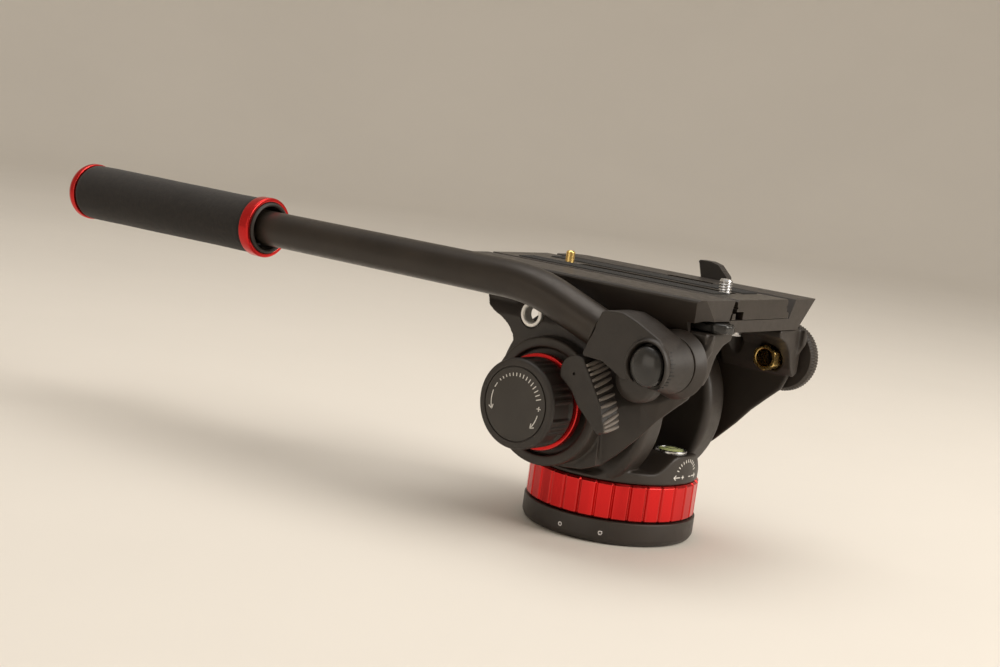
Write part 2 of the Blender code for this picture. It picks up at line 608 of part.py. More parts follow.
def make_clamp():
    body = prism("bar_clamp", clamp_outline(), "Y", -73.2, -54.8, "black_plastic")
    join(body, turned("thumb_lobe", [
        (0, -67.4), (5.6, -66.8), (9.0, -64.6), (10.4, -61.6), (10.4, -54.8), (0, -54.8)],
        (43.6, 83.6), "Y", "black_plastic", 28))
    join(body, turned("nose_flare", [(0, -72.6), (9.6, -72.6), (12.8, -54.8), (0, -54.8)],
                      (ROSETTE_X, ROSETTE_Z), "Y", "black_plastic", 32))
    slope = Matrix.Rotation(BAR_SLOPE, 3, "Y")
    socket = rod("socket_bore", SPIGOT_R + FIT, -60.0, 0.6 - SPIGOT_END, (0, 0), "X", "black_plastic", 24)
    for vert in socket.data.vertices:
        vert.co = slope @ vert.co + Vector((SLOPE_X, BAR_Y, SLOPE_Z)) * MM
    cut(body, socket,
        rod("bolt_bore", 4.4, -90, -50, (ROSETTE_X, ROSETTE_Z), "Y", "black_plastic", 20),
        rod("cap_seat", 9.7, -90, -68.2, (ROSETTE_X, ROSETTE_Z), "Y", "black_plastic", 28))
    return body


def make_clamp_knob():
    """Oval cap on the clamp bolt."""
    centre = (ROSETTE_X, ROSETTE_Z)
    cap = turned("clamp_knob", [
        (0, -68.5), (9.2, -68.5), (9.2, -74.0), (8.4, -75.6), (5.5, -76.8), (0, -77.2)],
        centre, "Y", "black_plastic", 28, stretch=(0.88, 1.0))
    bolt = rod("clamp_bolt", 4.0, -68.2, -33.0, centre, "Y", "steel", 16)
    return [cap, bolt]


def make_grip():
    centre = (BAR_Y, BAR_LEVEL_Z)
    foam = turned("grip_foam", [
        (BAR_R + FIT, GRIP_X0), (GRIP_R0, GRIP_X0), (GRIP_R0, -300.0), (GRIP_R1, GRIP_X1), (13.4, GRIP_X1),
        (13.4, GRIP_X1 - 8.0), (BAR_R + FIT, GRIP_X1 - 8.0)], centre, "X", "foam", 28)
    cap = turned("grip_end_cap", [
        (0, -337.6), (12.6, -337.6), (14.9, -336.4), (15.8, -334.0), (15.8, GRIP_X0 - 0.4),
        (0, GRIP_X0 - 0.4)], centre, "X", "red_anodised", 28)
    ring = tube("grip_front_ring", 13.6, 15.6, GRIP_X1 + 0.3, -189.4, centre, "X", "red_anodised", 28)
    collar = turned("grip_collar", [
        (BAR_R + 0.5, -203.5), (13.0, -203.5), (13.2, -188.6), (12.2, -188.0), (11.2, -188.6), (11.2, -199.0),
        (BAR_R + 0.5, -199.0)], centre, "X", "black_plastic", 28)
    return [foam, cap, ring, collar]


# ---------------------------------------------------------------- assembly

def build():
    clear_scene()
    for name, (colour, roughness, metallic) in FINISHES.items():
        MATERIALS[name] = material(name, colour, roughness, metallic)

    base = pivot("base_origin", 0, 0, 0)
    pan = pivot("pan_pivot", 0, 0, COLLAR_LOW, base)
    tilt = pivot("tilt_pivot", TILT_X, 0, TILT_Z, pan)
    plate = pivot("plate_pivot", 0, 0, TRAY_FLOOR, tilt)
    bar = pivot("bar_pivot", ROSETTE_X, BAR_Y, ROSETTE_Z, tilt)

    ride(base, *make_base())
    ride(pivot("ring_pivot", 0, 0, RING_LOW, pan), make_pan_ring())
    ride(pan, *make_pan_parts())
    ride(pivot("pan_lock_pivot", -40.6, 0, PAN_LOCK_Z, pan), *make_pan_lock())

    release, release_pin = make_release()
    ride(tilt, make_arm("right_arm", -1), make_arm("left_arm", 1), make_tray(), *make_tray_screws(),
         *make_inserts(), *make_rosettes(), make_hub_cap(), release_pin)
    ride(pivot("knob_pivot", TILT_X, -KNOB_FACE, TILT_Z, tilt), *make_tilt_knob())
    ride(pivot("brake_pivot", BRAKE_X, -60.0, BRAKE_Z, tilt), *make_tilt_lock())
    ride(pivot("plate_lock_pivot", LOCK_X, 58.0, LOCK_Z + 5.2, tilt), *make_plate_lock())
    ride(pivot("shoe_pivot", LOCK_X, 28.0, LOCK_Z + 5.2, tilt), make_shoe())
    ride(pivot("release_pivot", RELEASE_X, RELEASE_Y, 110.0, tilt), *release)

    ride(plate, *make_plate())
    ride(pivot("screw_pivot", SCREW_X, 0, 117.0, plate), make_camera_screw())
    ride(pivot("pin_pivot", PIN_X, 0, 120.0, plate), make_pin())

    ride(bar, make_clamp(), make_tube(), *make_grip())
    ride(pivot("clamp_knob_pivot", ROSETTE_X, -70.0, ROSETTE_Z, bar), *make_clamp_knob())


MATERIALS = {}
build()
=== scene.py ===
"""Looks of a video fluid head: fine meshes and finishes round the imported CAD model.

Sizes are in millimetres unless a name says otherwise; MM turns them into the frame's metres.
The camera side of the head is its right side, -Y; +X points towards the lens.
"""
import json
import math

import bmesh
import bpy
from mathutils import Matrix, Vector, noise


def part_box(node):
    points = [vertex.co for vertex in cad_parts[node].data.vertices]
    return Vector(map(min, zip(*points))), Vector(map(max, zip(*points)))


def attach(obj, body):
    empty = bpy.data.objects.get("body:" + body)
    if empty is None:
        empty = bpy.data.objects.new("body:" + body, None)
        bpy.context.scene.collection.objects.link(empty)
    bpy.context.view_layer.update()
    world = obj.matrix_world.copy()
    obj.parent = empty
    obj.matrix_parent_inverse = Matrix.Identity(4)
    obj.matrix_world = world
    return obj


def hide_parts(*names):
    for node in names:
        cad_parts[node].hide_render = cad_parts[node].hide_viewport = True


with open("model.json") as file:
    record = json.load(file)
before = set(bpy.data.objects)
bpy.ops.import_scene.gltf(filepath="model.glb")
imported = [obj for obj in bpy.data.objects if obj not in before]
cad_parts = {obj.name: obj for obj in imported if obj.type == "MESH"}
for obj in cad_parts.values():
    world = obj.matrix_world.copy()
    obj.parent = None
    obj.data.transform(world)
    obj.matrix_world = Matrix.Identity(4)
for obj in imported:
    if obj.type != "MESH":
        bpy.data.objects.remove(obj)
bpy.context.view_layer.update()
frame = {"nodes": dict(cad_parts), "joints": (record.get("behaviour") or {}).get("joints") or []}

MM = 0.001


def anchor(joint):
    """A joint's point in the frame."""
    found = [j for j in frame["joints"] if j["name"] == joint]
    return Vector(found[0]["pos_m"]) / MM


def span(node):
    """Lowest and highest corners of a CAD node."""
    low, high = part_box(node)
    return low / MM, high / MM


TILT = anchor("tilt")
ROSETTE = anchor("bar_turn")
BRAKE = anchor("tilt_lock_turn")
LOCK = anchor("plate_lock_turn")
TILT_AXIS = (TILT.x, TILT.z)
ROSETTE_AXIS = (ROSETTE.x, ROSETTE.z)
BRAKE_AXIS = (BRAKE.x, BRAKE.z)
LOCK_AXIS = (LOCK.x, LOCK.z)
PAN_LOCK_AXIS = (0, 37.0)
INSERT_AXIS = (-27.0, 99.6)
RELEASE_AXIS = (50.0, -36.0)
PIN_SPOT = (-43.0, 0)
TRAY_LOW, TRAY_HIGH = span("platform_tray")
PLATE_LOW, PLATE_HIGH = span("camera_plate")


# ---------------------------------------------------------------- mesh helpers

def in_scene(name, data):
    """An object in the scene for a mesh, a light or a camera."""
    obj = bpy.data.objects.new(name, data)
    bpy.context.scene.collection.objects.link(obj)
    return obj


def mesh_object(name, points, faces, sharp=34):
    """A closed mesh from points in millimetres, faces turned outwards."""
    bm = bmesh.new()
    verts = [bm.verts.new(Vector(p) * MM) for p in points]
    for face in faces:
        bm.faces.new([verts[i] for i in face])
    bmesh.ops.remove_doubles(bm, verts=bm.verts, dist=1e-7)
    bmesh.ops.recalc_face_normals(bm, faces=bm.faces)
    mesh = bpy.data.meshes.new(name)
    bm.to_mesh(mesh)
    bm.free()
    mesh.shade_smooth()
    mesh.set_sharp_from_angle(angle=math.radians(sharp))
    return in_scene(name, mesh)


def bake(obj):
    """Turns an object's modifiers into its mesh."""
    graph = bpy.context.evaluated_depsgraph_get()
    mesh = bpy.data.meshes.new_from_object(obj.evaluated_get(graph))
    old = obj.data
    obj.modifiers.clear()
    obj.data = mesh
    mesh.name = obj.name
    bpy.data.meshes.remove(old)
    return obj


def polar(radius, angle):
    """A point on a circle round the origin, its angle in radians."""
    return (radius * math.cos(angle), radius * math.sin(angle))


def full_turn(count):
    """Evenly spaced angles round a circle, in radians."""
    return [2 * math.pi * i / count for i in range(count)]


def arc(cx, cy, radius, start, stop, count):
    """Points on a circle, angles in degrees, both ends included."""
    points = []
    for i in range(count):
        a = math.radians(start + (stop - start) * i / (count - 1))
        points.append((cx + radius * math.cos(a), cy + radius * math.sin(a)))
    return points


def mirrored(side, near, far):
    """The low and high y of a stretch between two distances from the middle plane."""
    return sorted((side * near, side * far))


def fillet(points, radius, steps=4, closed=True):
    """An outline with its corners rounded; radius is one value or one for each corner."""
    radii = radius if isinstance(radius, (list, tuple)) else [radius] * len(points)
    out, count = [], len(points)
    for i in range(count):
        here = Vector(points[i])
        if not closed and i in (0, count - 1):
            out.append(tuple(here))
            continue
        back, ahead = Vector(points[i - 1]) - here, Vector(points[(i + 1) % count]) - here
        if radii[i] <= 0 or back.length < 1e-6 or ahead.length < 1e-6:
            out.append(tuple(here))
            continue
        half = math.acos(max(-1.0, min(1.0, back.normalized().dot(ahead.normalized())))) / 2
        if half > math.radians(86) or half < math.radians(3):
            out.append(tuple(here))
            continue
        reach = min(radii[i] / math.tan(half), 0.46 * back.length, 0.46 * ahead.length)
        middle = here + (back.normalized() + ahead.normalized()).normalized() * (reach / math.cos(half))
        first = here + back.normalized() * reach - middle
        turn = math.pi - 2 * half
        if back.x * ahead.y - back.y * ahead.x > 0:
            turn = -turn
        for k in range(steps + 1):
            out.append(tuple(middle + Matrix.Rotation(turn * k / steps, 2) @ first))
    return out


def on_axis(axis, u, v, w):
    """A point from two in-plane coordinates and one along the axis."""
    if axis == "X":
        return (w, u, v)
    if axis == "Y":
        return (u, w, v)
    return (u, v, w)


def loft(name, rings, sharp=34, ends=True):
    """Joins equal rings of points, and caps both ends or closes the last ring to the first."""
    size = len(rings[0])
    points = [p for ring in rings for p in ring]
    faces = []
    if ends:
        faces += [tuple(range(size)), tuple(range(len(points) - size, len(points)))]
    for k in range(len(rings) - (1 if ends else 0)):
        a, b = k * size, (k + 1) % len(rings) * size
        for i in range(size):
            j = (i + 1) % size
            faces.append((a + i, a + j, b + j, b + i))
    return mesh_object(name, points, faces, sharp)


def prism(name, outline, axis, low, high):
    """An outline pulled along one axis: (y, z) along X, (x, z) along Y, (x, y) along Z."""
    return loft(name, [[on_axis(axis, u, v, w) for u, v in outline] for w in (low, high)])


def block(name, low, high):
    outline = [(low[0], low[1]), (high[0], low[1]), (high[0], high[1]), (low[0], high[1])]
    return prism(name, outline, "Z", low[2], high[2])


def turned(name, profile, centre, axis, sides=96, stretch=(1.0, 1.0), reach=None):
    """A closed (radius, height) profile turned round an axis.

    reach(angle, radius, height) may vary the radius.
    """
    points, rings = [], []
    for radius, height in profile:
        first = len(points)
        count = 1 if radius <= 0 else sides
        for i in range(count):
            a = 2 * math.pi * i / sides
            r = reach(a, radius, height) if reach and radius > 0 else radius
            u = centre[0] + r * stretch[0] * math.cos(a)
            v = centre[1] + r * stretch[1] * math.sin(a)
            points.append(on_axis(axis, u, v, height))
        rings.append((first, count))
    faces = []
    for k, (a0, ca) in enumerate(rings):
        b0, cb = rings[(k + 1) % len(rings)]
        if ca == 1 and cb == 1:
            continue
        for i in range(sides):
            j = (i + 1) % sides
            quad = [a0 + i % ca, a0 + j % ca, b0 + j % cb, b0 + i % cb]
            faces.append(list(dict.fromkeys(quad)))
    return mesh_object(name, points, faces)


def rod(name, radius, low, high, centre, axis, sides=64, edge=0.0):
    profile = [(0, low), (radius, low), (radius, high), (0, high)]
    if edge:
        profile = fillet(profile, [0, edge, edge, 0])
    return turned(name, profile, centre, axis, sides)


def tube(name, inner, outer, low, high, centre, axis, sides=96, edge=0.0):
    profile = [(inner, low), (outer, low), (outer, high), (inner, high)]
    if edge:
        profile = fillet(profile, edge)
    return turned(name, profile, centre, axis, sides)


def lathe(name, corners, radii, centre, axis, sides=96):
    """A turned piece whose (radius, height) corners are rounded."""
    return turned(name, fillet(corners, radii), centre, axis, sides)


def combine(obj, others, operation):
    """Cuts or joins with helper solids, which are then removed."""
    for other in others:
        modifier = obj.modifiers.new(operation.lower(), "BOOLEAN")
        modifier.operation = operation
        modifier.object = other
        modifier.solver = "EXACT"
    bake(obj)
    for other in others:
        bpy.data.objects.remove(other, do_unlink=True)
    return obj


def cut(obj, *others):
    return combine(obj, others, "DIFFERENCE")


def group(obj, *others):
    """Puts several closed bodies into one object."""
    bm = bmesh.new()
    bm.from_mesh(obj.data)
    for other in others:
        bm.from_mesh(other.data)
        bpy.data.objects.remove(other, do_unlink=True)
    bm.to_mesh(obj.data)
    bm.free()
    return obj


def soften(obj, width, segments=3, angle=30):
    """Rounds the sharp edges and keeps flat faces flat."""
    modifier = obj.modifiers.new("edges", "BEVEL")
    modifier.width = width * MM
    modifier.segments = segments
    modifier.limit_method = "ANGLE"
    modifier.angle_limit = math.radians(angle)
    modifier.harden_normals = True
    obj.data.shade_smooth()
    return bake(obj)


def cast(obj, voxel, passes):
    """Melts overlapping bodies into one casting with rounded edges and blended joints."""
    modifier = obj.modifiers.new("melt", "REMESH")
    modifier.mode = "VOXEL"
    modifier.voxel_size = voxel * MM
    modifier.use_smooth_shade = True
    smooth = obj.modifiers.new("round", "SMOOTH")
    smooth.factor = 0.5
    smooth.iterations = passes
    bake(obj)
    obj.data.shade_smooth()
    return obj


def strokes(name, lines, width, place, rise=0.07):
    """Printed lines as thin strips; place(u, v, h) lays the drawing on the surface."""
    points, faces = [], []
    for line in lines:
        first = len(points)
        for i, p in enumerate(line):
            before, after = Vector(line[max(i - 1, 0)]), Vector(line[min(i + 1, len(line) - 1)])
            along = (after - before).normalized()
            side = Vector((-along.y, along.x)) * width / 2
            for offset, h in ((side, -0.05), (-side, -0.05), (-side, rise), (side, rise)):
                points.append(place(p[0] + offset.x, p[1] + offset.y, h))
        last = first + 4 * (len(line) - 1)
        faces += [tuple(range(first, first + 4)), tuple(range(last, last + 4))]
        for i in range(len(line) - 1):
            a = first + 4 * i
            for k in range(4):
                m = (k + 1) % 4
                faces.append((a + k, a + m, a + 4 + m, a + 4 + k))
    return mesh_object(name, points, faces)


# ---------------------------------------------------------------- finishes

def surface(name, colour, roughness, metallic=0.0, tint=0.15, mottle=60.0, grain=2600.0, relief=0.002,
            spread=0.06, stretch=(1.0, 1.0, 1.0), edge=None, edge_highlight_share=0.5, sheen=0.0):
    """A procedural finish: mottled colour, uneven gloss, fine grain, and paler edges that are a painted
    highlight.
    """
    mat = bpy.data.materials.new(name)
    mat.use_nodes = True
    nodes, links = mat.node_tree.nodes, mat.node_tree.links
    shader = nodes["Principled BSDF"]
    shader.inputs["Metallic"].default_value = metallic
    shader.inputs["Sheen Weight"].default_value = sheen
    coords = nodes.new("ShaderNodeTexCoord")
    mapping = nodes.new("ShaderNodeMapping")
    mapping.inputs["Scale"].default_value = stretch
    links.new(coords.outputs["Object"], mapping.inputs["Vector"])

    def noise_of(scale, detail):
        node = nodes.new("ShaderNodeTexNoise")
        node.inputs["Scale"].default_value = scale
        node.inputs["Detail"].default_value = detail
        links.new(mapping.outputs["Vector"], node.inputs["Vector"])
        return node.outputs["Fac"]

    def spread_of(value, low, high, start=0.3, stop=0.7):
        node = nodes.new("ShaderNodeMapRange")
        links.new(value, node.inputs["Value"])
        for key, number in (("From Min", start), ("From Max", stop), ("To Min", low), ("To Max", high)):
            node.inputs[key].default_value = number
        return node.outputs["Result"]

    def socket_of(node, key):
        return [s for s in node.inputs if s.name == key and s.enabled][0]

    def mixed_colour(factor, first, second):
        node = nodes.new("ShaderNodeMix")
        node.data_type = "RGBA"
        links.new(factor, socket_of(node, "Factor"))
        for key, value in (("A", first), ("B", second)):
            if isinstance(value, tuple):
                socket_of(node, key).default_value = (*value, 1.0)
            else:
                links.new(value, socket_of(node, key))
        return [s for s in node.outputs if s.enabled][0]

    dark = tuple(c * (1 - tint) for c in colour)
    light = tuple(min(1.0, c * (1 + tint)) for c in colour)
    tone = mixed_colour(spread_of(noise_of(mottle, 4), 0.0, 1.0), dark, light)
    gloss = spread_of(noise_of(mottle * 6, 5), roughness - spread, roughness + spread)
    # edge is the colour of a painted highlight: paler colour laid in patches along rounded edges, standing in
    # for their sheen.
    if edge:
        bevel = nodes.new("ShaderNodeBevel")
        bevel.samples = 4
        bevel.inputs["Radius"].default_value = 0.6 * MM
        geometry = nodes.new("ShaderNodeNewGeometry")
        dot = nodes.new("ShaderNodeVectorMath")
        dot.operation = "DOT_PRODUCT"
        links.new(bevel.outputs["Normal"], dot.inputs[0])
        links.new(geometry.outputs["Normal"], dot.inputs[1])
        corner = spread_of(dot.outputs["Value"], edge_highlight_share, 0.0, 0.90, 0.995)
        edge_highlight_patches = nodes.new("ShaderNodeMath")
        edge_highlight_patches.operation = "MULTIPLY"
        links.new(corner, edge_highlight_patches.inputs[0])
        links.new(spread_of(noise_of(mottle * 9, 4), 0.2, 1.0), edge_highlight_patches.inputs[1])
        tone = mixed_colour(edge_highlight_patches.outputs[0], tone, edge)
    links.new(tone, shader.inputs["Base Color"])
    links.new(gloss, shader.inputs["Roughness"])
    bump = nodes.new("ShaderNodeBump")
    bump.inputs["Strength"].default_value = 0.7
    bump.inputs["Distance"].default_value = relief * MM * 10
    links.new(noise_of(grain, 3), bump.inputs["Height"])
    links.new(bump.outputs["Normal"], shader.inputs["Normal"])
    return mat


def make_finishes():
    """Every finish by name. The brown warmth in the near-black paint, plastic, label, anodised, rib and foam
    colours is painted warm reflected light.
    """
    return {
        # Each edge colour below is a painted highlight along rounded edges.
        "paint": surface("black_satin_paint", (0.024, 0.0178, 0.0135), 0.46, tint=0.18, mottle=45, grain=3200,
                         relief=0.0045, edge=(0.11, 0.088, 0.07), edge_highlight_share=0.35),
        "plastic": surface("black_moulded_plastic", (0.021, 0.0162, 0.0128), 0.5, mottle=80, grain=2400,
                           relief=0.006, edge=(0.085, 0.07, 0.058), edge_highlight_share=0.3),
        "gloss_plastic": surface("black_gloss_plastic", (0.022, 0.021, 0.02), 0.2, mottle=80, grain=1800,
                                 spread=0.05, edge=(0.08, 0.075, 0.07), edge_highlight_share=0.2),
        "rib_plastic": surface("grey_rib_plastic", (0.15, 0.13, 0.112), 0.5, tint=0.2, mottle=120,
                               relief=0.006, spread=0.08),
        "label": surface("satin_label", (0.034, 0.029, 0.024), 0.42, metallic=0.1, tint=0.08, mottle=120,
                         grain=4200, relief=0.0015, spread=0.04),
        "print": surface("white_print", (0.72, 0.70, 0.66), 0.55, tint=0.12, mottle=700, grain=5000,
                         spread=0.05),
        "scale": surface("dark_scale_print", (0.008, 0.007, 0.007), 0.6, tint=0.2, mottle=300, grain=3000,
                         spread=0.05),
        "red": surface("red_anodised", (0.60, 0.018, 0.018), 0.22, metallic=0.85, tint=0.16, mottle=70,
                       grain=2200, relief=0.0022, stretch=(1.0, 1.0, 0.06), edge=(0.95, 0.32, 0.28),
                       edge_highlight_share=0.55),
        "black_metal": surface("black_anodised", (0.030, 0.0232, 0.0178), 0.36, metallic=0.35, grain=3600,
                               edge=(0.15, 0.14, 0.125), edge_highlight_share=0.45),
        "steel": surface("turned_steel", (0.66, 0.66, 0.67), 0.24, metallic=1.0, tint=0.10, mottle=160,
                         relief=0.0022, spread=0.08),
        "nickel": surface("satin_nickel", (0.86, 0.84, 0.80), 0.42, metallic=0.6, tint=0.08, mottle=160),
        "brass": surface("turned_brass", (0.80, 0.56, 0.20), 0.26, metallic=1.0, tint=0.12, mottle=160,
                         spread=0.08),
        "rubber": surface("pad_rubber", (0.020, 0.019, 0.018), 0.82, tint=0.2, mottle=220, grain=1500,
                          relief=0.009, spread=0.07),
        "foam": surface("closed_cell_foam", (0.0105, 0.0078, 0.0062), 0.9, tint=0.35, mottle=420,
                        grain=1250, relief=0.030, sheen=0.1),
        "dark": surface("inner_steel", (0.16, 0.16, 0.165), 0.4, metallic=0.9, tint=0.2, mottle=120,
                        grain=2400, relief=0.003, spread=0.1),
    }


def clear_material(name, colour, roughness, alpha):
    """See-through plastic or liquid with faint unevenness."""
    mat = surface(name, colour, roughness, tint=0.06, mottle=300, grain=900, relief=0.0008, spread=0.02)
    shader = mat.node_tree.nodes["Principled BSDF"]
    shader.inputs["Transmission Weight"].default_value = alpha
    shader.inputs["IOR"].default_value = 1.42
    return mat


FINISH = make_finishes()
# The liquid's pale, bright yellow-green is partly its tint and partly a painted glint, lightened to stand in
# for a highlight on the level.
FINISH["vial"] = clear_material("level_liquid_and_painted_glint", (0.86, 0.94, 0.46), 0.06, 0.5)
FINISH["bubble"] = clear_material("level_bubble", (0.95, 0.97, 0.85), 0.08, 0.5)


def show(obj, finish, body, *nodes, slot=None):
    """Gives a piece its finish, hangs it on its body and lets it stand for CAD nodes."""
    obj.data.materials.clear()
    obj.data.materials.append(FINISH[finish])
    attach(obj, body)
    if nodes:
        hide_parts(*nodes)
    return obj


# ---------------------------------------------------------------- base and pan ring

def make_base():
    """Flat disc with a rounded rim and two grub screws in its edge."""
    radius, top, hole = 41.8, 11.0, 9.35
    corners = [(hole, 0), (radius - 1.3, 0), (radius, 2.4), (radius, top - 0.2), (radius - 0.9, top),
               (hole, top)]
    base = lathe("base_flange", corners, [0.3, 1.5, 2.5, 0.5, 0.5, 0.3], (0, 0), "Z", 160)
    show(base, "paint", "base", "base_disc")
    sunk, screw_height = 0.02, 5.0
    head = [(0, -0.4), (1.1, -0.4), (1.1, 0.12), (0.55, 0.12), (0.45, -0.2), (0, -0.2)]
    for word, azimuth in (("rear", -88.6), ("front", -60.9)):
        a = math.radians(azimuth)
        screw = lathe(f"{word}_grub_screw", head, [0, 0.1, 0.1, 0.05, 0.05, 0], (0, 0), "X", 24)
        turn = Matrix.Rotation(a, 4, "Z")
        place = Vector((math.cos(a), math.sin(a), 0)) * (radius - sunk) + Vector((0, 0, screw_height))
        for vert in screw.data.vertices:
            vert.co = turn @ vert.co + place * MM
        show(screw, "steel", "base", slot="base_disc")


def make_pan_ring():
    """Flats divided by V grooves, with bevelled rims."""
    flats, radius, inner = 32, 41.0, 32.8
    bottom, top = 11.5, 29.0
    groove, depth = math.radians(1.25), 1.0
    half = math.pi / flats
    edge = half - groove

    def outline(shrink):
        flat = radius - shrink
        points = []
        for i in range(flats):
            a = 2 * math.pi * (i + 0.5) / flats
            corner = flat / math.cos(edge)
            for turn, r in ((-edge, corner), (0, flat), (edge, corner), (half, flat - depth)):
                points.append(polar(r, a + turn))
        return points

    levels = ((bottom, 0.7), (12.2, 0.0), (28.0, 0.0), (top, 1.1))
    rings = [[(x, y, z) for x, y in outline(shrink)] for z, shrink in levels]
    for z in (top, bottom):
        rings.append([(*polar(inner, math.atan2(y, x)), z) for x, y, _ in rings[0]])
    ring = loft("grooved_drag_ring", rings, sharp=20, ends=False)
    show(soften(ring, 0.22, 2, 18), "red", "pan_drag", "pan_drag_ring")


# ---------------------------------------------------------------- fixed body

def blend_step(value):
    value = max(0.0, min(1.0, value))
    return value * value * (3 - 2 * value)


def deck_height(x, y):
    """Top of the fixed body's foot: low at the sides, a hump round the level at the front."""
    rim, step, rise = 31.6, 3.4, 8.3
    hump = blend_step((20.5 - abs(y)) / 13.0) * blend_step((x - 15.0) / 8.0)
    inside = blend_step((37.5 - abs(y)) / 2.5)
    return rim + step * inside + rise * hump


FOOT_RADIUS = 40.2
LEVEL_X = 30.0


def make_foot():
    """The fixed body's foot, its rim rounded off, with a well for the level."""
    bore, under = 11.6, 29.3
    angles = full_turn(144)
    rings = []
    for r in (bore, 16, 20, 24, 28, 31, 34, 36.5, 38.4, 39.6, 40.1, FOOT_RADIUS):
        drop = 0.9 * max(0.0, (r - 39.0) / 1.2) ** 2
        rings.append([(x, y, deck_height(x, y) - drop) for x, y in [polar(r, a) for a in angles]])
    for r, z in ((FOOT_RADIUS, under + 0.3), (FOOT_RADIUS - 0.4, under), (bore, under)):
        rings.append([(*polar(r, a), z) for a in angles])
    foot = loft("cast_pan_body", rings, ends=False)
    return cut(foot, rod("level_well", 7.95, 36.0, 60.0, (LEVEL_X, 0), "Z"))


def make_housing():
    """Fixed body: foot, two hollow uprights and the pan-lock boss, cast as one and then bored."""
    foot = make_foot()
    boss = rod("lock_boss", 6.2, -40.3, -22, PAN_LOCK_AXIS, "X", edge=0.6)
    parts = [cut(boss, rod("lock_bore", 3.35, -50, -24, PAN_LOCK_AXIS, "X"))]
    outline = arc(*TILT_AXIS, 43.8, -48.5, 205, 72) + [(-36.0, 29.8)]
    for side in (-1, 1):
        wall = soften(prism("upright", outline, "Y", *mirrored(side, 19.2, 35.7)), 3.6, 6, 50)
        parts.append(cut(wall, rod("pocket", 25.0, *mirrored(side, 23.5, 41), TILT_AXIS, "Y"),
                         rod("axle_bore", 6.4, -45, 45, TILT_AXIS, "Y")))
    body = cast(group(foot, *parts), 0.5, 7)
    hub_room = [rod("hub_room", 31.5, *mirrored(side, 35.85, 46.0), TILT_AXIS, "Y", 128)
                for side in (-1, 1)]
    cut(body, *hub_room, rod("lock_bore", 3.3, -50, -24, PAN_LOCK_AXIS, "X"))
    show(body, "paint", "pan", "pan_housing")


def make_pan_print():
    """Two arrows, a minus and a plus under a fan of ticks, printed on the foot's wall."""
    level, barb = 33.0, 1.1

    def on_wall(u, v, h):
        return (*polar(FOOT_RADIUS + h, u / FOOT_RADIUS), v)

    lines = [[(-3.9, level), (-2.1, level)], [(-3.0, level - 0.9), (-3.0, level + 0.9)],
             [(2.1, level), (3.9, level)]]
    for side in (-1, 1):
        lines.append([(side * 9.4, level), (side * 5.0, level)])
        lines += [[(side * 9.4, level), (side * 8.0, level + rise)] for rise in (barb, -barb)]
    centre, squash, inner = level + 0.6, 0.92, 6.9
    for i in range(11):
        a = math.radians(158 - 13.6 * i)
        ends = [polar(r, a) for r in (inner, 8.3 + 0.06 * i)]
        lines.append([(u, centre + v * squash) for u, v in ends])
    show(strokes("pan_drag_print", lines, 0.45, on_wall, 0.09), "print", "pan", slot="pan_housing")


def make_level():
    """Chromed cup, liquid with a bubble, and a centring ring."""
    spot, top = (LEVEL_X, 0), 44.2
    cup = lathe("level_rim", [
        (0, 36.4), (7.6, 36.4), (7.6, top - 0.1), (7.0, top + 0.25), (6.3, top), (6.3, 40.0), (0, 40.0)],
        [0, 0.2, 0.4, 0.3, 0.2, 0.1, 0], spot, "Z", 72)
    show(cup, "steel", "pan", "level_cup")
    vial = lathe("level_window", [
        (0, 40.3), (6.05, 40.3), (6.05, 43.9), (4.0, 44.7), (2.0, 45.0), (0, 45.08)],
        [0, 0.2, 0.8, 0, 0, 0], spot, "Z", 64)
    show(vial, "vial", "pan", "level_vial")
    bubble = turned("level_bubble", [
        (0, 42.6), (1.2, 42.7), (1.9, 43.2), (2.1, 43.6), (1.8, 44.0), (1.0, 44.3), (0, 44.4)],
        (LEVEL_X + 0.5, 0.3), "Z", 40)
    show(bubble, "bubble", "pan", slot="level_vial")
    ring = tube("level_mark", 2.9, 3.15, 44.72, 44.98, spot, "Z", 48)
    show(ring, "scale", "pan", slot="level_vial")


def make_pan_lock():
    """Knob behind the fixed body with a flat wing across it."""
    knob = lathe("pan_lock_wing_knob", [
        (0, -50.4), (4.6, -50.4), (6.6, -49.2), (7.0, -47.0), (7.0, -41.8), (6.4, -40.6), (0, -40.6)],
        [0, 1, 1, 1, 0.6, 0.4, 0], PAN_LOCK_AXIS, "X", 64)
    wing = fillet([(-15, 35.0), (-13.5, 34), (13.5, 34), (15, 35.0), (15, 39.0), (13.5, 40), (-13.5, 40),
                   (-15, 39.0)], 1.2)
    bar = soften(prism("wing", wing, "X", -49.8, -44.0), 0.9, 3, 40)
    show(cast(group(knob, bar), 0.35, 5), "plastic", "pan_lock", "pan_lock_knob")


# ---------------------------------------------------------------- tilting platform

def arm_outlines():
    """The wall's full outline, and the outer face's, set back where the lower edge is bevelled."""
    ear = [(68.6, 107.4), (-56.8, 107.4), (-56.6, 105.2), (-53.0, 99.6), (-49.0, 97.4), (-44.0, 95.5),
           (-39.5, 92.5), (-36.3, 88.3), (-35.0, 83.8), (-36.0, 77.0)]
    hub = arc(TILT.x, TILT.z, 30.0, 162, 270, 14) + [(2.0, 33.2), (12.0, 34.4), (20.0, 37.6)]
    edge = [(28.6, 45.3), (38.6, 55.5), (45.7, 63.8), (53.0, 70.8), (59.8, 77.0), (62.0, 82.0), (65.0, 93.0),
            (68.4, 100.0)]
    face = [(20.0, 60.0), (30.0, 68.0), (39.5, 70.6), (49.0, 73.2), (56.4, 77.6), (59.6, 82.8), (63.2, 93.4),
            (67.0, 100.6)]
    return ear + hub + edge, ear + hub + face


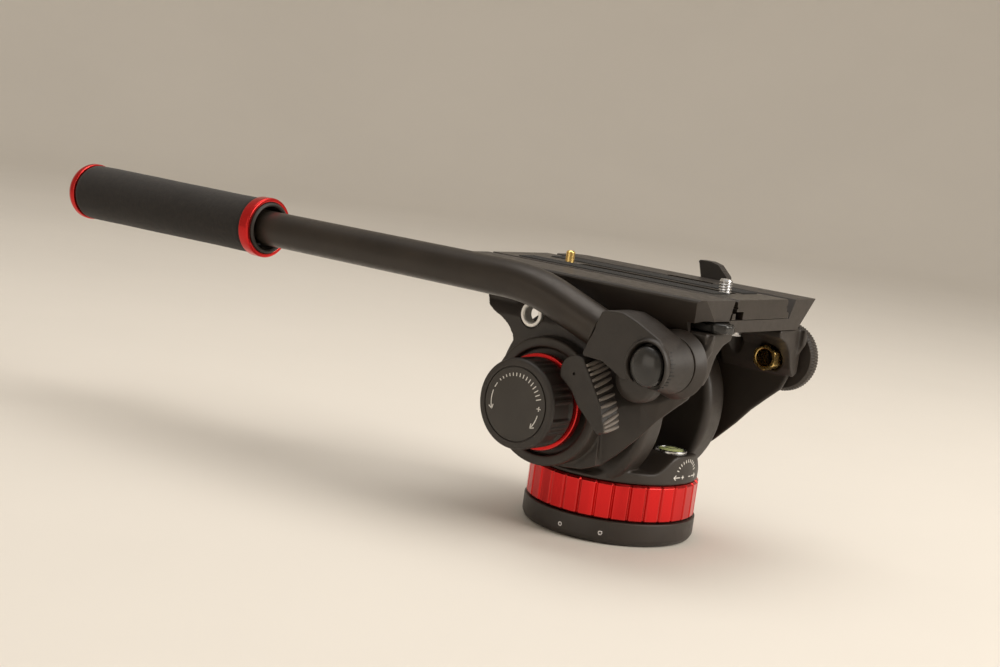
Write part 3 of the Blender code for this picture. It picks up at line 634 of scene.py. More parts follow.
def arm_wall(word, side):
    """An arm's plate: its outer face leans inwards at the top and is bevelled along the front."""
    inner, bend, outer = 42.6, 44.4, 48.5
    full, face = arm_outlines()
    rings = [[(x, side * y, z) for x, z in outline]
             for y, outline in ((inner, full), (bend, full), (outer, face))]
    wall = loft(f"{word}_cast_arm", rings)
    lean = [(side * y, z) for y, z in ((43.6, 108.4), (60, 108.4), (60, 97.0), (48.6, 97.0))]
    cutters = [prism("lean", lean, "X", -90, 90),
               rod("insert_seat", 6.3, *mirrored(side, 40, 60), INSERT_AXIS, "Y")]
    if side < 0:
        cutters.append(rod("brake_bore", 3.3, *mirrored(side, 30, 70), BRAKE_AXIS, "Y"))
        cutters.append(rod("shaft_bore", 9.2, *mirrored(side, 50.0, 70), TILT_AXIS, "Y"))
    return cut(wall, *cutters)


def arm_hub(side):
    """Round hub between an arm and the fixed body's upright."""
    bore, radius, inner, outer = 6.4, 31.0, 36.1, 43.6
    hub = lathe("hub", [(bore, inner), (radius, inner), (radius, outer), (bore, outer)],
                [0.4, 1.5, 0.4, 0.4], TILT_AXIS, "Y")
    for vert in hub.data.vertices:
        vert.co.y *= side
    if side < 0:
        hub.data.flip_normals()
    return hub


def arm_gussets(side):
    """Webs under the tray, deep in front and shallow behind."""
    flange = [(29.5, 101.8), (23.4, 103.9), (22.6, 107.5), (46.0, 107.5)]
    deep = [(46.0, 86.0), (42.0, 84.0), (38.6, 88.0), (36.6, 93.0), (34.5, 97.5)]
    shallow = [(46.0, 100.8), (37.6, 100.8)]
    gussets = []
    for web, low_x, high_x in ((deep, 27.0, 65.8), (shallow, -53.4, -38.0)):
        outline = [(side * y, z) for y, z in fillet(flange + web, 1.0)]
        gusset = prism("gusset", outline, "X", low_x, high_x)
        cut(gusset, rod("nut_seat", 6.6, *mirrored(side, 18, 42.5), ROSETTE_AXIS, "Y"),
            *[rod("head_seat", 4.6, 80, 103.9, (x, side * 33.0), "Z") for x in (-46.0, 36.0)])
        gussets.append(gusset)
    return gussets


def drag_boss():
    """Boss on the right arm with the round well that the tilt-drag dial sits in."""
    bore, well, floor, root, rim = 9.3, 24.9, -53.6, -47.5, -57.3
    corners = [(bore, root), (29.6, root), (30.0, rim), (well, rim), (well, floor), (bore, floor)]
    return lathe("boss", corners, [0, 0, 1.4, 0.9, 0.5, 0.4], TILT_AXIS, "Y", 128)


def make_arm(word, side):
    """A platform arm, cast with its hub and webs and then bored; the right one carries the boss."""
    wall = arm_wall(word, side)
    parts = [arm_hub(side), *arm_gussets(side)]
    seat_end = 47.6
    if side < 0:
        parts.append(drag_boss())
        seat_end = 60.0
    arm = cast(group(wall, *parts), 0.5, 6)
    bores = [rod("axle_seat", 6.25, *mirrored(side, 30, seat_end), TILT_AXIS, "Y"),
             rod("rosette_bore", 4.4, *mirrored(side, 30, 60), ROSETTE_AXIS, "Y")]
    if side < 0:
        bores.append(rod("brake_bore", 3.35, *mirrored(side, 30, 70), BRAKE_AXIS, "Y"))
    cut(arm, *bores)
    show(arm, "paint", "platform", f"{word}_arm")


def tray_corners():
    """Cutters for the tray's corners: upright behind; in front narrow at the top and wide at the lip."""
    front, rear, half, trim = TRAY_HIGH.x, TRAY_LOW.x, TRAY_HIGH.y, 9.0
    cutters = []
    for side in (-1, 1):
        outside = side * (half + 1)
        cutters.append(prism("rear_corner", [
            (rear - 1, outside), (rear + trim, outside), (rear + trim * 0.3, side * (half - trim * 0.38)),
            (rear - 1, side * (half - trim))], "Z", 100, 130))
        upper = [(front - 11.7, 70.1), (front + 13.3, 32.6), (front + 13.3, 70.1)]
        lower = [(front - 16.9, 59.6), (front + 8.1, 22.1), (front + 8.1, 59.6)]
        cutters.append(loft("front_corner", [[(x, side * y, z) for x, y in ring]
                                             for ring, z in ((lower, 105.0), (upper, 123.5))]))
    return cutters


def make_tray():
    """Cast tray: sloping flanks with a small hanging lip, an undercut trough and trimmed corners."""
    top, floor, low = TRAY_HIGH.z, 113.2, TRAY_LOW.z
    half, lip = TRAY_HIGH.y, 106.2
    outline = [(-44.6, low), (-45.3, lip), (-46.6, lip), (-half, top - 1.2), (-half + 1.2, top), (-26.3, top),
               (-29.6, floor), (26.9, floor), (31.7, top), (half - 1.2, top), (half, top - 1.2), (46.6, lip),
               (45.3, lip), (44.6, low)]
    left_half = [0.3, 0.5, 0.6, 1.0, 1.0, 0.5, 0.3]
    outline = fillet(outline, left_half + left_half[::-1], 3)
    tray = prism("cast_tray", outline, "X", TRAY_LOW.x, TRAY_HIGH.x)
    corners = tray_corners()
    ceiling = [(-26.6, 105.0), (-26.6, 111.2), (-30.0, 113.0)]
    open_end = fillet(ceiling + [(-46.0, 113.0), (-53.0, 110.0), (-57.0, 105.0)],
                      [0, 1.5, 2.5, 4.0, 3.0, 0], 5)
    closed_end = fillet(ceiling + [(-44.0, 113.0), (-46.0, 111.0), (-44.9, 105.0)],
                        [0, 1.5, 2.5, 2.0, 1.0, 0], 4)
    shoe_low, shoe_high = span("plate_lock_shoe")
    cut(tray, *corners,
        prism("inner_pocket", closed_end, "X", 44.0, 58.0),
        prism("release_pocket", open_end, "X", 57.0, 70.0),
        block("shoe_pocket", (shoe_low.x - 1, 24.5, shoe_low.z - 0.4), (shoe_high.x + 1, 34.0, 130.0)),
        rod("lock_bore", 3.3, 30.0, 60.0, LOCK_AXIS, "Y", 32),
        rod("release_bore", 2.3, 100.0, 115.8, RELEASE_AXIS, "Z", 24))
    show(soften(tray, 0.45, 2, 28), "paint", "platform", "platform_tray")


def make_release():
    """Safety catch under the front corner, its thumb end rounded and glossy."""
    eye = arc(*RELEASE_AXIS, 4.4, 100, 260, 12)
    tail = [(60.0, -41.0), (66.0, -41.2), (71.0, -39.0), (72.3, -34.8), (71.0, -30.8), (66.0, -29.0),
            (60.0, -30.4)]
    outline = fillet(eye + tail, [0] * len(eye) + [2] * len(tail))
    arm = prism("safety_catch", outline, "Z", 108.1, 111.2)
    cut(arm, rod("hole", 2.35, 100, 120, RELEASE_AXIS, "Z", 32))
    thumb = fillet([(60.5, -40.0), (66.0, -41.6), (71.2, -39.4), (72.3, -35.0), (71.2, -31.4), (66.0, -29.5),
                    (60.5, -30.8)], 2.0)
    tip = soften(prism("thumb", thumb, "Z", 107.9, 112.4), 1.4, 5, 50)
    show(cast(group(arm, tip), 0.3, 5), "gloss_plastic", "release", "plate_release_lever")


def make_plate():
    """Extruded plate with side grooves, a long slot and seats for the pads."""
    half, low, top = 23.8, 113.5, 122.5
    groove = half - 0.7
    outline = [(-27.6, low), (25.9, low), (25.9, 116.1), (half, 116.4), (half, 118.2), (groove, 118.5),
               (groove, 119.1), (half, 119.4), (half, top - 0.9), (half - 0.9, top), (-half + 0.9, top),
               (-half, top - 0.9), (-half, 119.4), (-groove, 119.1), (-groove, 118.5), (-half, 118.2),
               (-half, 116.4), (-27.0, 116.1)]
    plate = prism("sliding_camera_plate", outline, "X", PLATE_LOW.x, PLATE_HIGH.x)
    slot = arc(48.0, 0, 3.5, -90, 90, 15) + arc(-33.0, 0, 3.5, 90, 270, 15)
    channel = arc(47.0, 0, 8.6, -90, 90, 15) + arc(-29.0, 0, 8.6, 90, 270, 15)
    cutters = [prism("slot", slot, "Z", 100, 130), prism("channel", channel, "Z", 100, 117.6),
               turned("pin_bore", [(0, 100), (3.9, 100), (3.9, 120.9), (2.5, 120.9), (2.5, 130), (0, 130)],
                      PIN_SPOT, "Z", 32),
               block("catch_notch", (60.0, -24.5, 113.0), (68.0, -17.7, 117.1))]
    for side in (-1, 1):
        low_y, high_y = mirrored(side, 6.8, 20.6)
        cutters.append(block("pad_seat", (-60.0, low_y, 121.8), (52.0, high_y, 125.0)))
    cut(plate, *cutters)
    show(soften(plate, 0.25, 2, 30), "black_metal", "plate", "camera_plate")


def make_pads():
    """Rubber pads with six flat ribs each."""
    count, groove = 6, 0.35
    for word in ("right", "left"):
        node = f"{word}_plate_pad"
        low, high = span(node)
        width = (high.y - low.y) / count
        section = [(low.y, low.z)]
        for i in range(count):
            y = low.y + width * i
            section += [(y + 0.05, high.z - groove), (y + 0.4, high.z), (y + width - 0.4, high.z),
                        (y + width - 0.05, high.z - groove)]
        section += [(high.y, low.z)]
        pad = prism(f"{word}_ribbed_pad", section, "X", low.x, high.x)
        show(pad, "rubber", "plate", node)


def threaded(name, profile, centre, pitch, depth, low, high):
    """A turned piece with a V thread between two heights."""
    rows = []
    step = pitch / 10
    for (r0, h0), (r1, h1) in zip(profile, profile[1:]):
        rows.append((r0, h0))
        if r0 > 0 and abs(r1 - r0) < 1e-6 and abs(h1 - h0) > 2 * step:
            count = int(abs(h1 - h0) / step)
            rows += [(r0, h0 + (h1 - h0) * k / count) for k in range(1, count)]
    rows.append(profile[-1])

    def reach(angle, radius, height):
        if not low <= height <= high or radius < 1.6:
            return radius
        phase = (height / pitch - angle / (2 * math.pi)) % 1.0
        fade = min(1.0, (height - low) / pitch, (high - height) / pitch + 0.3)
        return radius - depth * fade * abs(2 * phase - 1)

    return turned(name, rows, centre, "Z", 64, reach=reach)


def make_plate_fasteners():
    """Camera screw with a thread and a coin slot, and the sprung locating pin."""
    head, shank, tip = 7.8, 3.17, 128.5
    screw = threaded("quarter_inch_camera_screw", [
        (0, 113.9), (head - 0.6, 113.9), (head, 114.5), (head, 116.5), (head - 0.6, 117.1), (shank, 117.1),
        (shank, tip - 0.7), (2.5, tip), (0, tip)], (45.7, 0), 1.27, 0.62, 117.6, 128.0)
    cut(screw, block("coin_slot", (45.0, -9, 113.0), (46.4, 9, 115.2)))
    show(screw, "steel", "screw", "camera_screw")
    pin = lathe("sprung_locating_pin", [
        (0, 119.4), (3.5, 119.4), (3.5, 120.4), (2.2, 120.4), (2.2, 127.4), (1.4, 128.1), (0, 128.1)],
        [0, 0.2, 0.2, 0.2, 0.5, 0.4, 0], PIN_SPOT, "Z", 48)
    show(pin, "brass", "pin", "locating_pin")


def make_plate_lock():
    """Lever fin on the left rail, its thumb edge ribbed."""
    fin = fillet([(14.2, 121.0), (15.0, 124.0), (9.0, 129.6), (4.5, 130.7), (-2.0, 130.7), (-2.8, 129.4)],
                 [1, 2, 2, 2, 1.4, 1], 5)
    lever = cut(prism("plate_lock_fin", arc(*LOCK_AXIS, 7.0, 180, 350, 20) + fin, "Y", 55.4, 60.6),
                rod("hole", 3.25, 50, 59.0, LOCK_AXIS, "Y", 32))
    lever = soften(lever, 0.9, 4, 40)
    count = 5
    ribs = []
    for i in range(count):
        t = i / (count - 1)
        ribs.append(rod("rib", 0.45, 56.4, 59.6, (9.4 + 4.6 * t, 129.0 - 4.4 * t), "Y", 16, 0.2))
    show(group(lever, *ribs), "plastic", "plate_lock", "plate_lock_lever")


# ---------------------------------------------------------------- controls

DIAL_FACE = -77.9


def make_tilt_knob():
    """Tilt-drag dial with ribbed pads, its accent ring and its label."""
    sections, radius, pitch = 8, 20.8, 0.7
    face, rim, root = -78.0, -76.0, -61.0

    def reach(angle, radius, height):
        """Pads of three ribs parted by shallow finger grooves, only along the knob's middle."""
        along = blend_step((height + 76.0) / 1.6) * blend_step((-62.2 - height) / 1.4)
        if radius < 19.5 or along <= 0:
            return radius
        turn = (angle * sections / (2 * math.pi)) % 1.0
        pad = blend_step((0.30 - abs(turn - 0.5)) / 0.03)
        rib = 0.5 + 0.5 * math.cos((turn - 0.5) * 2 * math.pi * 5.0)
        return radius - along * (1.0 - pad * (0.55 + 0.45 * blend_step(rib * 1.6 - 0.3)))

    profile = [(0, -77.2), (17.1, -77.2), (17.25, -77.75), (17.6, face), (19.0, face), (20.0, -77.6),
               (20.6, -76.9), (radius, rim)]
    profile += [(radius, rim + pitch * k) for k in range(1, 21)]
    profile += [(20.4, root), (8.6, root), (8.6, -50.6), (0, -50.6)]
    dial = turned("tilt_drag_dial", profile, TILT_AXIS, "Y", 384, reach=reach)
    show(dial, "plastic", "tilt_drag", "tilt_drag_knob")
    ring = tube("tilt_drag_accent_ring", 9.0, 22.4, -60.7, -57.0, TILT_AXIS, "Y", 128, 0.5)
    show(ring, "red", "tilt_drag", "tilt_drag_ring")
    label = lathe("tilt_dial_label", [(0, DIAL_FACE), (16.75, DIAL_FACE), (16.75, -77.4), (0, -77.4)],
                  [0, 0.2, 0, 0], TILT_AXIS, "Y", 128)
    show(label, "label", "tilt_drag", "tilt_knob_label")


def make_dial_print():
    """Two curved arrows, a minus and a plus, and a fan of growing ticks on the dial's label."""
    radius, barb, half = 13.4, 2.3, 1.1

    def on_face(u, v, h):
        return (TILT.x + u, DIAL_FACE - h, TILT.z + v)

    lines = []
    for start, stop in ((163, 201), (-11, -42)):
        lines.append(arc(0, 0, radius, start, stop, 12))
        tip = Vector(lines[-1][-1])
        tangent = (tip - Vector(lines[-1][-2])).normalized()
        for turn in (148, -148):
            side = Matrix.Rotation(math.radians(turn), 2) @ tangent
            lines.append([tuple(tip), tuple(tip + side * barb)])
    minus, plus = math.radians(151), math.radians(2)
    signs = [(minus, Vector((-math.sin(minus), math.cos(minus))) * 1.2),
             (plus, Vector((half, 0))), (plus, Vector((0, half)))]
    for place, arm in signs:
        middle = Vector(polar(radius, place))
        lines.append([tuple(middle - arm), tuple(middle + arm)])
    for i in range(15):
        a = math.radians(136 - 8.3 * i)
        lines.append([polar(12.9 - 0.06 * i, a), polar(13.9 + 0.06 * i, a)])
    show(strokes("tilt_dial_print", lines, 0.42, on_face, 0.06), "print", "tilt_drag", slot="tilt_knob_label")


LEVER_NEAR, LEVER_FAR = -72.0, -61.4
NEAR_EDGE = [(36.9, 59.2), (36.1, 62.6), (33.1, 70.8), (29.5, 76.6), (25.9, 82.1), (22.9, 86.3)]
FAR_EDGE = [(37.8, 61.0), (36.6, 67.2), (34.3, 73.0), (30.9, 81.0), (28.6, 86.4), (24.9, 88.9)]


def make_tilt_lock():
    """Lever whose front edge slants away from its outer face."""
    head = arc(BRAKE.x + 0.3, BRAKE.z + 0.3, 8.1, 62, 205, 16)
    rear = [(12.2, 77.2), (16.9, 73.6), (21.5, 67.4), (29.6, 60.8), (33.6, 57.4)]
    rings = []
    for y, front, shrink in ((LEVER_NEAR, NEAR_EDGE, 0.6), (LEVER_NEAR + 0.35, NEAR_EDGE, 0.18),
                             (LEVER_NEAR + 1.0, NEAR_EDGE, 0.0), (LEVER_FAR - 0.6, FAR_EDGE, 0.0),
                             (LEVER_FAR, FAR_EDGE, 0.4)):
        outline = head + rear + front
        middle = Vector((sum(p[0] for p in outline), sum(p[1] for p in outline))) / len(outline)
        ring = []
        for x, z in outline:
            inward = (middle - Vector((x, z))).normalized() * shrink
            ring.append((x + inward.x, y, z + inward.y))
        rings.append(ring)
    lever = loft("tilt_lock_grip", rings)
    neck = rod("neck", 4.8, -62.2, -57.7, BRAKE_AXIS, "Y", 48, 0.4)
    lever = cast(group(lever, neck), 0.35, 4)
    dimple = rod("dimple", 0.75, LEVER_NEAR - 1, LEVER_NEAR + 1.2, BRAKE_AXIS, "Y", 24)
    show(cut(lever, dimple), "plastic", "tilt_lock", "tilt_lock_lever")


def along_edge(edge, share):
    """A point a share of the way from the lever's top to its tip."""
    path = edge[::-1]
    place = share * (len(path) - 1.12) + 0.06
    k = min(int(place), len(path) - 2)
    return Vector(path[k]).lerp(Vector(path[k + 1]), place - k)


def make_tilt_lock_ribs():
    """Grip ribs laid across the lever's front edge, thinner at their ends."""
    count, steps, margin = 12, 9, 0.06
    length = sum((Vector(b) - Vector(a)).length for a, b in zip(NEAR_EDGE, NEAR_EDGE[1:]))
    thick = (length / count) * 0.40
    ribs = []
    for i in range(count):
        near, far = [along_edge(edge, i / (count - 1)) for edge in (NEAR_EDGE, FAR_EDGE)]
        rings = []
        for k in range(steps):
            s = k / (steps - 1)
            share = margin + (1 - 2 * margin) * s
            middle = near.lerp(far, share)
            y = LEVER_NEAR + (LEVER_FAR - LEVER_NEAR) * share
            swell = thick * (0.35 + 0.65 * math.sin(math.pi * max(0.04, min(0.96, s))) ** 0.4)
            around = [polar(swell, a) for a in full_turn(10)]
            rings.append([(middle.x + u, y, middle.y + v) for u, v in around])
        ribs.append(loft("rib", rings, 60))
    ribs = group(*ribs)
    ribs.name = "tilt_lock_ribs"
    show(ribs, "rib_plastic", "tilt_lock", slot="tilt_lock_lever")


# ---------------------------------------------------------------- rosettes

def make_rosettes():
    """Graduated skirt on the right, serrated disc and cover plug on the left."""
    skirt = lathe("graduated_skirt", [
        (4.4, -48.85), (15.6, -48.85), (15.3, -49.7), (13.2, -53.5), (12.8, -54.4), (4.4, -54.4)],
        [0, 0.2, 0.4, 0.5, 0.3, 0], ROSETTE_AXIS, "Y", 144)
    show(skirt, "paint", "platform", "right_rosette")
    teeth, depth = 72, 0.45

    def reach(angle, radius, height):
        if radius < 16.0 or not 49.9 < height < 55.0:
            return radius
        return radius - depth * abs(2 * ((angle * teeth / (2 * math.pi)) % 1.0) - 1)

    disc = turned("serrated_rosette", [
        (4.4, 48.85), (15.4, 48.85), (15.8, 49.2), (16.6, 50.2), (17.0, 50.6), (17.0, 54.2), (16.6, 54.9),
        (15.6, 55.3), (12.2, 55.4), (11.6, 54.9), (4.4, 54.9)], ROSETTE_AXIS, "Y", teeth * 6, reach=reach)
    show(disc, "paint", "platform", "left_rosette")
    plug = lathe("rosette_cover_plug", [
        (0, 44.0), (4.0, 44.0), (4.0, 55.7), (10.6, 55.7), (10.6, 56.5), (9.6, 57.3), (0, 57.3)],
        [0, 0.3, 0, 0.2, 0.4, 0.6, 0], ROSETTE_AXIS, "Y", 72)
    show(plug, "plastic", "platform", "left_rosette_plug")


def make_nuts():
    """Hexagonal brass nuts behind the rosettes, and the threaded inserts in the ears."""
    bore, radius, half_flats = 4.35, 6.2, 5.55

    def hexagon(angle, radius, height):
        if radius < 5.5:
            return radius
        return min(radius, half_flats / math.cos((angle + math.pi / 6) % (math.pi / 3) - math.pi / 6))

    for word, side in (("right", -1), ("left", 1)):
        low, high = mirrored(side, 31.0, 42.3)
        profile = fillet([(bore, low), (radius, low), (radius, high), (bore, high)], 0.4)
        nut = turned(f"{word}_brass_nut", profile, ROSETTE_AXIS, "Y", 6 * 12, reach=hexagon)
        show(nut, "brass", "platform", f"{word}_rosette_nut")
        socket = socket_ring(f"{word}_accessory_thread", side)
        show(socket, "nickel", "platform", f"{word}_accessory_socket")


def socket_ring(name, side):
    """Turned insert in an ear, with a chamfered mouth and a shallow step inside."""
    low, high = 42.8, 48.6
    profile = [(4.0, low), (6.0, low), (6.0, high - 0.3), (5.7, high), (4.5, high), (4.0, high - 0.5)]
    return turned(name, [(r, side * h) for r, h in profile], INSERT_AXIS, "Y", 64)


def make_hub_cap():
    """Stepped cover over the axle on the left arm."""
    cap = lathe("left_axle_cover", [
        (0, 48.85), (24.0, 48.85), (24.0, 50.2), (22.6, 51.6), (17.0, 51.9), (16.4, 51.4), (0, 51.4)],
        [0, 0.2, 0.6, 1.0, 0.3, 0.2, 0], TILT_AXIS, "Y", 128)
    show(cap, "plastic", "platform", "left_hub_cap")


# ---------------------------------------------------------------- pan bar

BAR_Y = ROSETTE.y
BAR_LEVEL = 116.0
SLOPE = math.radians(19.5)
SLOPE_X, SLOPE_Z = 54.5, 91.0
GRIP_LOW, GRIP_HIGH = span("grip_foam")
GRIP_AXIS = (BAR_Y, BAR_LEVEL)


def bar_path():
    """The bar's centre line and radius: spigot in the clamp, slope, bend and level run."""
    spigot, radius, bend_r = 6.6, 9.0, 95.0
    start = ((17.0, spigot), (32.0, spigot), (32.05, radius - 0.4), (32.5, radius), (42.0, radius))
    path = [(SLOPE_X - t * math.cos(SLOPE), SLOPE_Z + t * math.sin(SLOPE), r) for t, r in start]
    corner_x = SLOPE_X - (BAR_LEVEL - SLOPE_Z) / math.tan(SLOPE)
    reach = bend_r * math.tan(SLOPE / 2)
    bend = arc(corner_x - reach, BAR_LEVEL - bend_r, bend_r, 90 - math.degrees(SLOPE), 90, 28)
    level_run = [(x, BAR_LEVEL) for x in (-80.0, -130.0, -180.0, -230.0, -290.0, -325.0)]
    return path + [(x, z, radius) for x, z in bend + level_run]


def make_bar():
    path = bar_path()
    rings = []
    for i, (x, z, radius) in enumerate(path):
        before, after = path[max(i - 1, 0)], path[min(i + 1, len(path) - 1)]
        along = Vector((after[0] - before[0], 0, after[1] - before[1])).normalized()
        across = Vector((-along.z, 0, along.x))
        rings.append([tuple(Vector((x, BAR_Y, z)) + across * u + Vector((0, v, 0)))
                      for u, v in [polar(radius, a) for a in full_turn(64)]])
    show(loft("bent_bar_tube", rings), "black_metal", "pan_bar", "pan_bar_tube")


CAP_WIDE, CAP_TALL = 9.15, 10.3
FLARE_FRONT, FLARE_BACK = (9.6, -72.7), (12.8, -54.9)


def clamp_body():
    """Square face for the tube and a flared oval nose, with a socket, a cap seat and a bolt bore."""
    nose = []
    for i in range(25):
        a = math.radians(-85 + 160 * i / 24)
        nose.append((ROSETTE.x + 8.6 * math.cos(a), ROSETTE.z + 2.2 + 11.2 * math.sin(a)))
    face = fillet([nose[-1], (46.6, 110.1), (38.8, 112.7), (31.0, 112.3), (28.0, 111.3), (20.4, 90.3),
                   (31.5, 89.8), (44.1, 83.5)], [0, 4, 4, 1, 1.2, 1.2, 4, 1.5], 4)[1:]
    body = soften(prism("bar_clamp_body", nose + face, "Y", -73.0, -54.9), 1.3, 4, 50)
    flare = lathe("nose_flare", [(0, FLARE_FRONT[1]), FLARE_FRONT, FLARE_BACK, (0, FLARE_BACK[1])],
                  [0, 0.6, 0.5, 0], ROSETTE_AXIS, "Y")
    socket = rod("socket", 9.25, -60.0, -31.4, (0, 0), "X", 48)
    turn = Matrix.Rotation(SLOPE, 3, "Y")
    for vert in socket.data.vertices:
        vert.co = turn @ vert.co + Vector((SLOPE_X, BAR_Y, SLOPE_Z)) * MM
    seat = turned("cap_seat", [(0, -90), (CAP_TALL, -90), (CAP_TALL, -68.2), (0, -68.2)],
                  ROSETTE_AXIS, "Y", 64, (CAP_WIDE / CAP_TALL, 1.0))
    body = combine(body, [flare], "UNION")
    return cut(body, socket, seat, rod("bolt_bore", 4.3, -90, -50, ROSETTE_AXIS, "Y", 32))


def clamp_rim():
    """Raised rim most of the way round the cap, lower towards its two ends."""
    steps, thick, tall = 40, 0.85, 2.1
    rings = []
    for k in range(steps + 1):
        a = math.radians(-38 + 262 * k / steps)
        grow = min(1.0, 0.25 + 6 * min(k, steps - k) / steps)
        out = Vector((math.cos(a), math.sin(a)))
        middle = Vector((ROSETTE.x + (CAP_WIDE + thick) * math.cos(a),
                         ROSETTE.z + (CAP_TALL + thick) * math.sin(a)))
        ring = []
        for b in full_turn(12):
            across, up = thick * math.cos(b), tall * grow * math.sin(b)
            ring.append((middle.x + out.x * across, -72.9 - up, middle.y + out.y * across))
        rings.append(ring)
    return loft("rim", rings)


def make_clamp():
    """Moulded clamp: body, round thumb lobe below and raised rim, melted into one and bored."""
    body = clamp_body()
    lobe = lathe("thumb_lobe", [
        (0, -67.3), (5.8, -66.8), (9.2, -64.8), (10.3, -61.4), (10.3, -54.9), (0, -54.9)],
        [0, 3, 3, 2, 0.6, 0], (43.6, 83.6), "Y", 72)
    clamp = cast(group(body, lobe, clamp_rim()), 0.35, 5)
    cut(clamp, rod("bolt_bore", 4.3, -90, -50, ROSETTE_AXIS, "Y", 32))
    show(clamp, "plastic", "pan_bar", "bar_clamp")


def make_angle_marks():
    """Fine marks around the clamp's flare, just behind the rim; every third one is longer."""
    near = Vector(FLARE_FRONT)
    run = Vector(FLARE_BACK) - near
    outward = Vector((run.y, -run.x)).normalized()
    wide, sunk, proud = 1.4, -0.10, 0.28

    def on_cone(angle, share, height):
        radius, y = near + run * share + outward * height
        u, v = polar(radius, math.radians(angle))
        return (ROSETTE.x + u, y, ROSETTE.z + v)

    marks = []
    for i in range(13):
        angle = 44 - 9.5 * i
        stop = 0.30 if i % 3 == 0 else 0.24
        corners = [(angle - wide, sunk), (angle + wide, sunk), (angle + wide, proud), (angle - wide, proud)]
        marks.append(loft("bar_angle_marks", [[on_cone(turn, share, height) for turn, height in corners]
                                              for share in (0.13, stop)]))
    show(group(*marks), "scale", "pan_bar", slot="bar_clamp")


def make_clamp_knob():
    """Domed oval cap in the clamp's nose."""
    radius, foot, shoulder, dome = 9.05, -68.6, -73.2, 3.9
    profile = [(0, foot), (radius - 0.2, foot), (radius, foot - 0.4), (radius, shoulder)]
    for k in range(10):
        a = math.radians(8 + 82 * k / 10)
        profile.append((radius * math.cos(a), shoulder - dome * math.sin(a)))
    profile.append((0, shoulder - dome))
    cap = turned("domed_clamp_cap", profile, ROSETTE_AXIS, "Y", 96, (0.9, 1.0))
    show(cap, "gloss_plastic", "bar_knob", "clamp_knob")


def make_foam():
    """Foam sleeve, a little slimmer towards its front, open at the front end."""
    low, high, count = GRIP_LOW.x, GRIP_HIGH.x, 90
    bore, mouth, mouth_end = 9.35, 13.5, GRIP_HIGH.x - 8.0
    profile = [(bore, low)]
    for k in range(count + 1):
        t = k / count
        swell = 15.2 - 0.7 * blend_step(t * 1.15)
        ends = min(t, 1 - t) * (high - low)
        profile.append((swell - 0.9 * max(0.0, 1 - ends / 1.8) ** 2, low + (high - low) * t))
    profile += [(mouth, high), (mouth, mouth_end), (bore, mouth_end)]

    def reach(angle, radius, height):
        """The foam isn't quite even."""
        if radius < 14.0:
            return radius
        p = Vector((height * 0.035, math.cos(angle) * 0.9, math.sin(angle) * 0.9))
        fine = Vector((height * 0.35, math.cos(angle) * 5, math.sin(angle) * 5))
        return radius + 0.16 * noise.noise(p) + 0.05 * noise.noise(fine)

    foam = turned("foam_grip", profile, GRIP_AXIS, "X", 120, reach=reach)
    show(foam, "foam", "pan_bar", "grip_foam")


def make_grip_rings():
    """Red end cap behind the foam, and a red ring round a dark collar in front of it."""
    low, high = GRIP_LOW.x - 0.3, GRIP_HIGH.x + 0.2
    end = lathe("red_end_cap", [
        (0, -337.6), (12.4, -337.6), (14.6, -336.6), (15.7, -334.2), (15.7, low), (0, low)],
        [0, 1.5, 2.0, 1.6, 0.4, 0], GRIP_AXIS, "X", 128)
    show(end, "red", "pan_bar", "grip_end_cap")
    ring = lathe("red_front_ring", [
        (13.6, high), (15.6, high), (15.6, -190.0), (15.0, -189.4), (13.6, -189.4)],
        [0.2, 0.4, 0.5, 0.5, 0.2], GRIP_AXIS, "X", 128)
    show(ring, "red", "pan_bar", "grip_front_ring")
    collar = lathe("grip_inner_collar", [
        (9.5, -203.5), (13.0, -203.5), (13.3, -188.8), (12.2, -188.0), (11.2, -188.8), (11.0, -199.0),
        (9.5, -199.0)], [0.2, 0.2, 0.5, 0.4, 0.5, 0.3, 0.2], GRIP_AXIS, "X", 96)
    show(collar, "plastic", "pan_bar", "grip_collar")


# ---------------------------------------------------------------- carried-over pieces

CARRIED = dict.fromkeys((
    "thread_insert", "pan_spindle", "pan_nut", "pan_bearing", "tilt_axle", "counterbalance_spring",
    "pan_lock_screw", "rear_right_tray_screw", "rear_left_tray_screw", "front_right_tray_screw",
    "front_left_tray_screw", "release_pin", "tilt_lock_screw", "plate_lock_screw", "clamp_bolt"), "steel")
CARRIED.update(dict.fromkeys(("pan_drag_cartridge", "tilt_drag_cartridge", "spring_drum"), "dark"))
CARRIED["plate_lock_shoe"] = "black_metal"


def finish_carried():
    """CAD pieces that already have their shape: welded, edges broken, and given their finish."""
    for name, finish in CARRIED.items():
        obj = frame["nodes"][name]
        obj.data.materials.clear()
        obj.data.materials.append(FINISH[finish])
        weld = obj.modifiers.new("weld", "WELD")
        weld.merge_threshold = 1e-6
        flat = obj.modifiers.new("flat", "DECIMATE")
        flat.decimate_type = "DISSOLVE"
        flat.angle_limit = math.radians(1.0)
        edges = obj.modifiers.new("edges", "BEVEL")
        edges.width = 0.2 * MM
        edges.segments = 2
        edges.limit_method = "ANGLE"
        edges.angle_limit = math.radians(35)


# ---------------------------------------------------------------- studio

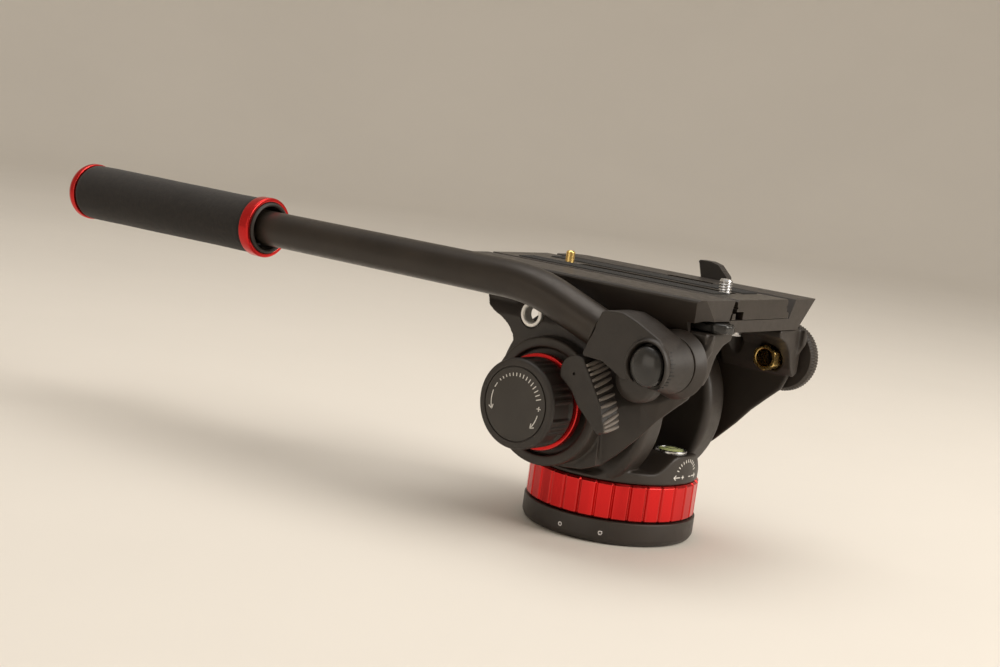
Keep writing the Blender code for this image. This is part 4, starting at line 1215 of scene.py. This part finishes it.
def make_camera():
    """Low three-quarter view from the front right, the camera rolled a little."""
    azimuth, elevation, roll = math.radians(36.86), math.radians(7.60), math.radians(7.64)
    place = (0.4080, -0.6507, 0.1878)
    back = Vector((math.sin(azimuth) * math.cos(elevation), -math.cos(azimuth) * math.cos(elevation),
                   math.sin(elevation)))
    right = (-back).cross(Vector((0, 0, 1))).normalized()
    up = right.cross(-back)
    across = right * math.cos(roll) + up * math.sin(roll)
    upward = up * math.cos(roll) - right * math.sin(roll)
    data = bpy.data.cameras.new("camera")
    data.lens = 57.6
    data.sensor_width = 36.0
    data.clip_start, data.clip_end = 0.01, 60
    cam = in_scene("camera", data)
    cam.matrix_world = Matrix.Translation(place) @ Matrix((across, upward, back)).transposed().to_4x4()
    bpy.context.scene.camera = cam


def make_room():
    """Floor that curves up into a round backdrop; sizes here are in metres."""
    flat, bend, height, sides = 2.2, 1.0, 3.2, 96
    profile = [(0.0, 0.0), (flat, 0.0)]
    for k in range(1, 17):
        a = math.radians(90 * k / 16)
        profile.append((flat + bend * math.sin(a), bend - bend * math.cos(a)))
    profile.append((flat + bend, height))
    bm = bmesh.new()
    rows = []
    for r, z in profile:
        z -= 0.0004
        if r == 0:
            rows.append([bm.verts.new((0, 0, z))] * sides)
        else:
            rows.append([bm.verts.new((*polar(r, a), z)) for a in full_turn(sides)])
    for low_row, high_row in zip(rows, rows[1:]):
        for i in range(sides):
            j = (i + 1) % sides
            bm.faces.new(list(dict.fromkeys((low_row[i], low_row[j], high_row[j], high_row[i]))))
    mesh = bpy.data.meshes.new("studio_floor")
    bm.to_mesh(mesh)
    bm.free()
    mesh.shade_smooth()
    floor = in_scene("studio_floor", mesh)
    mesh.materials.append(surface("pale_floor", (0.78, 0.735, 0.67), 0.7, tint=0.015, mottle=3, grain=900,
                                  spread=0.05))


def area_light(name, place, aim, size, power, colour):
    data = bpy.data.lights.new(name, "AREA")
    data.shape = "RECTANGLE"
    data.size, data.size_y = size
    data.energy = power
    data.color = colour
    light = in_scene(name, data)
    light.location = place
    light.rotation_euler = (Vector(aim) - Vector(place)).to_track_quat("-Z", "Y").to_euler()
    light.visible_camera = False


def make_lights():
    """Window light from the front left, soft light from above, and a weak fill from the right."""
    middle = (0.0, 0.0, 0.08)
    area_light("key_window", (1.3, 0.35, 0.85), middle, (0.9, 1.1), 20, (1.0, 0.95, 0.88))
    area_light("overhead", (-0.15, 0.1, 1.5), middle, (1.4, 0.9), 10, (1.0, 0.96, 0.91))
    area_light("side_fill", (-0.2, -1.5, 0.3), middle, (1.2, 0.8), 3.0, (1.0, 0.92, 0.82))
    world = bpy.data.worlds.new("studio_world")
    world.use_nodes = True
    background = world.node_tree.nodes["Background"]
    background.inputs["Color"].default_value = (1.0, 0.96, 0.90, 1.0)
    background.inputs["Strength"].default_value = 0.5
    scene = bpy.context.scene
    scene.world = world
    scene.view_settings.view_transform = "Standard"


make_camera()
make_room()
make_lights()

make_base()
make_pan_ring()
make_housing()
make_pan_print()
make_level()
make_pan_lock()
make_arm("right", -1)
make_arm("left", 1)
make_tray()
make_release()
make_plate()
make_pads()
make_plate_fasteners()
make_plate_lock()
make_tilt_knob()
make_dial_print()
make_tilt_lock()
make_tilt_lock_ribs()
make_rosettes()
make_nuts()
make_hub_cap()
make_bar()
make_clamp()
make_angle_marks()
make_clamp_knob()
make_foam()
make_grip_rings()
finish_carried()
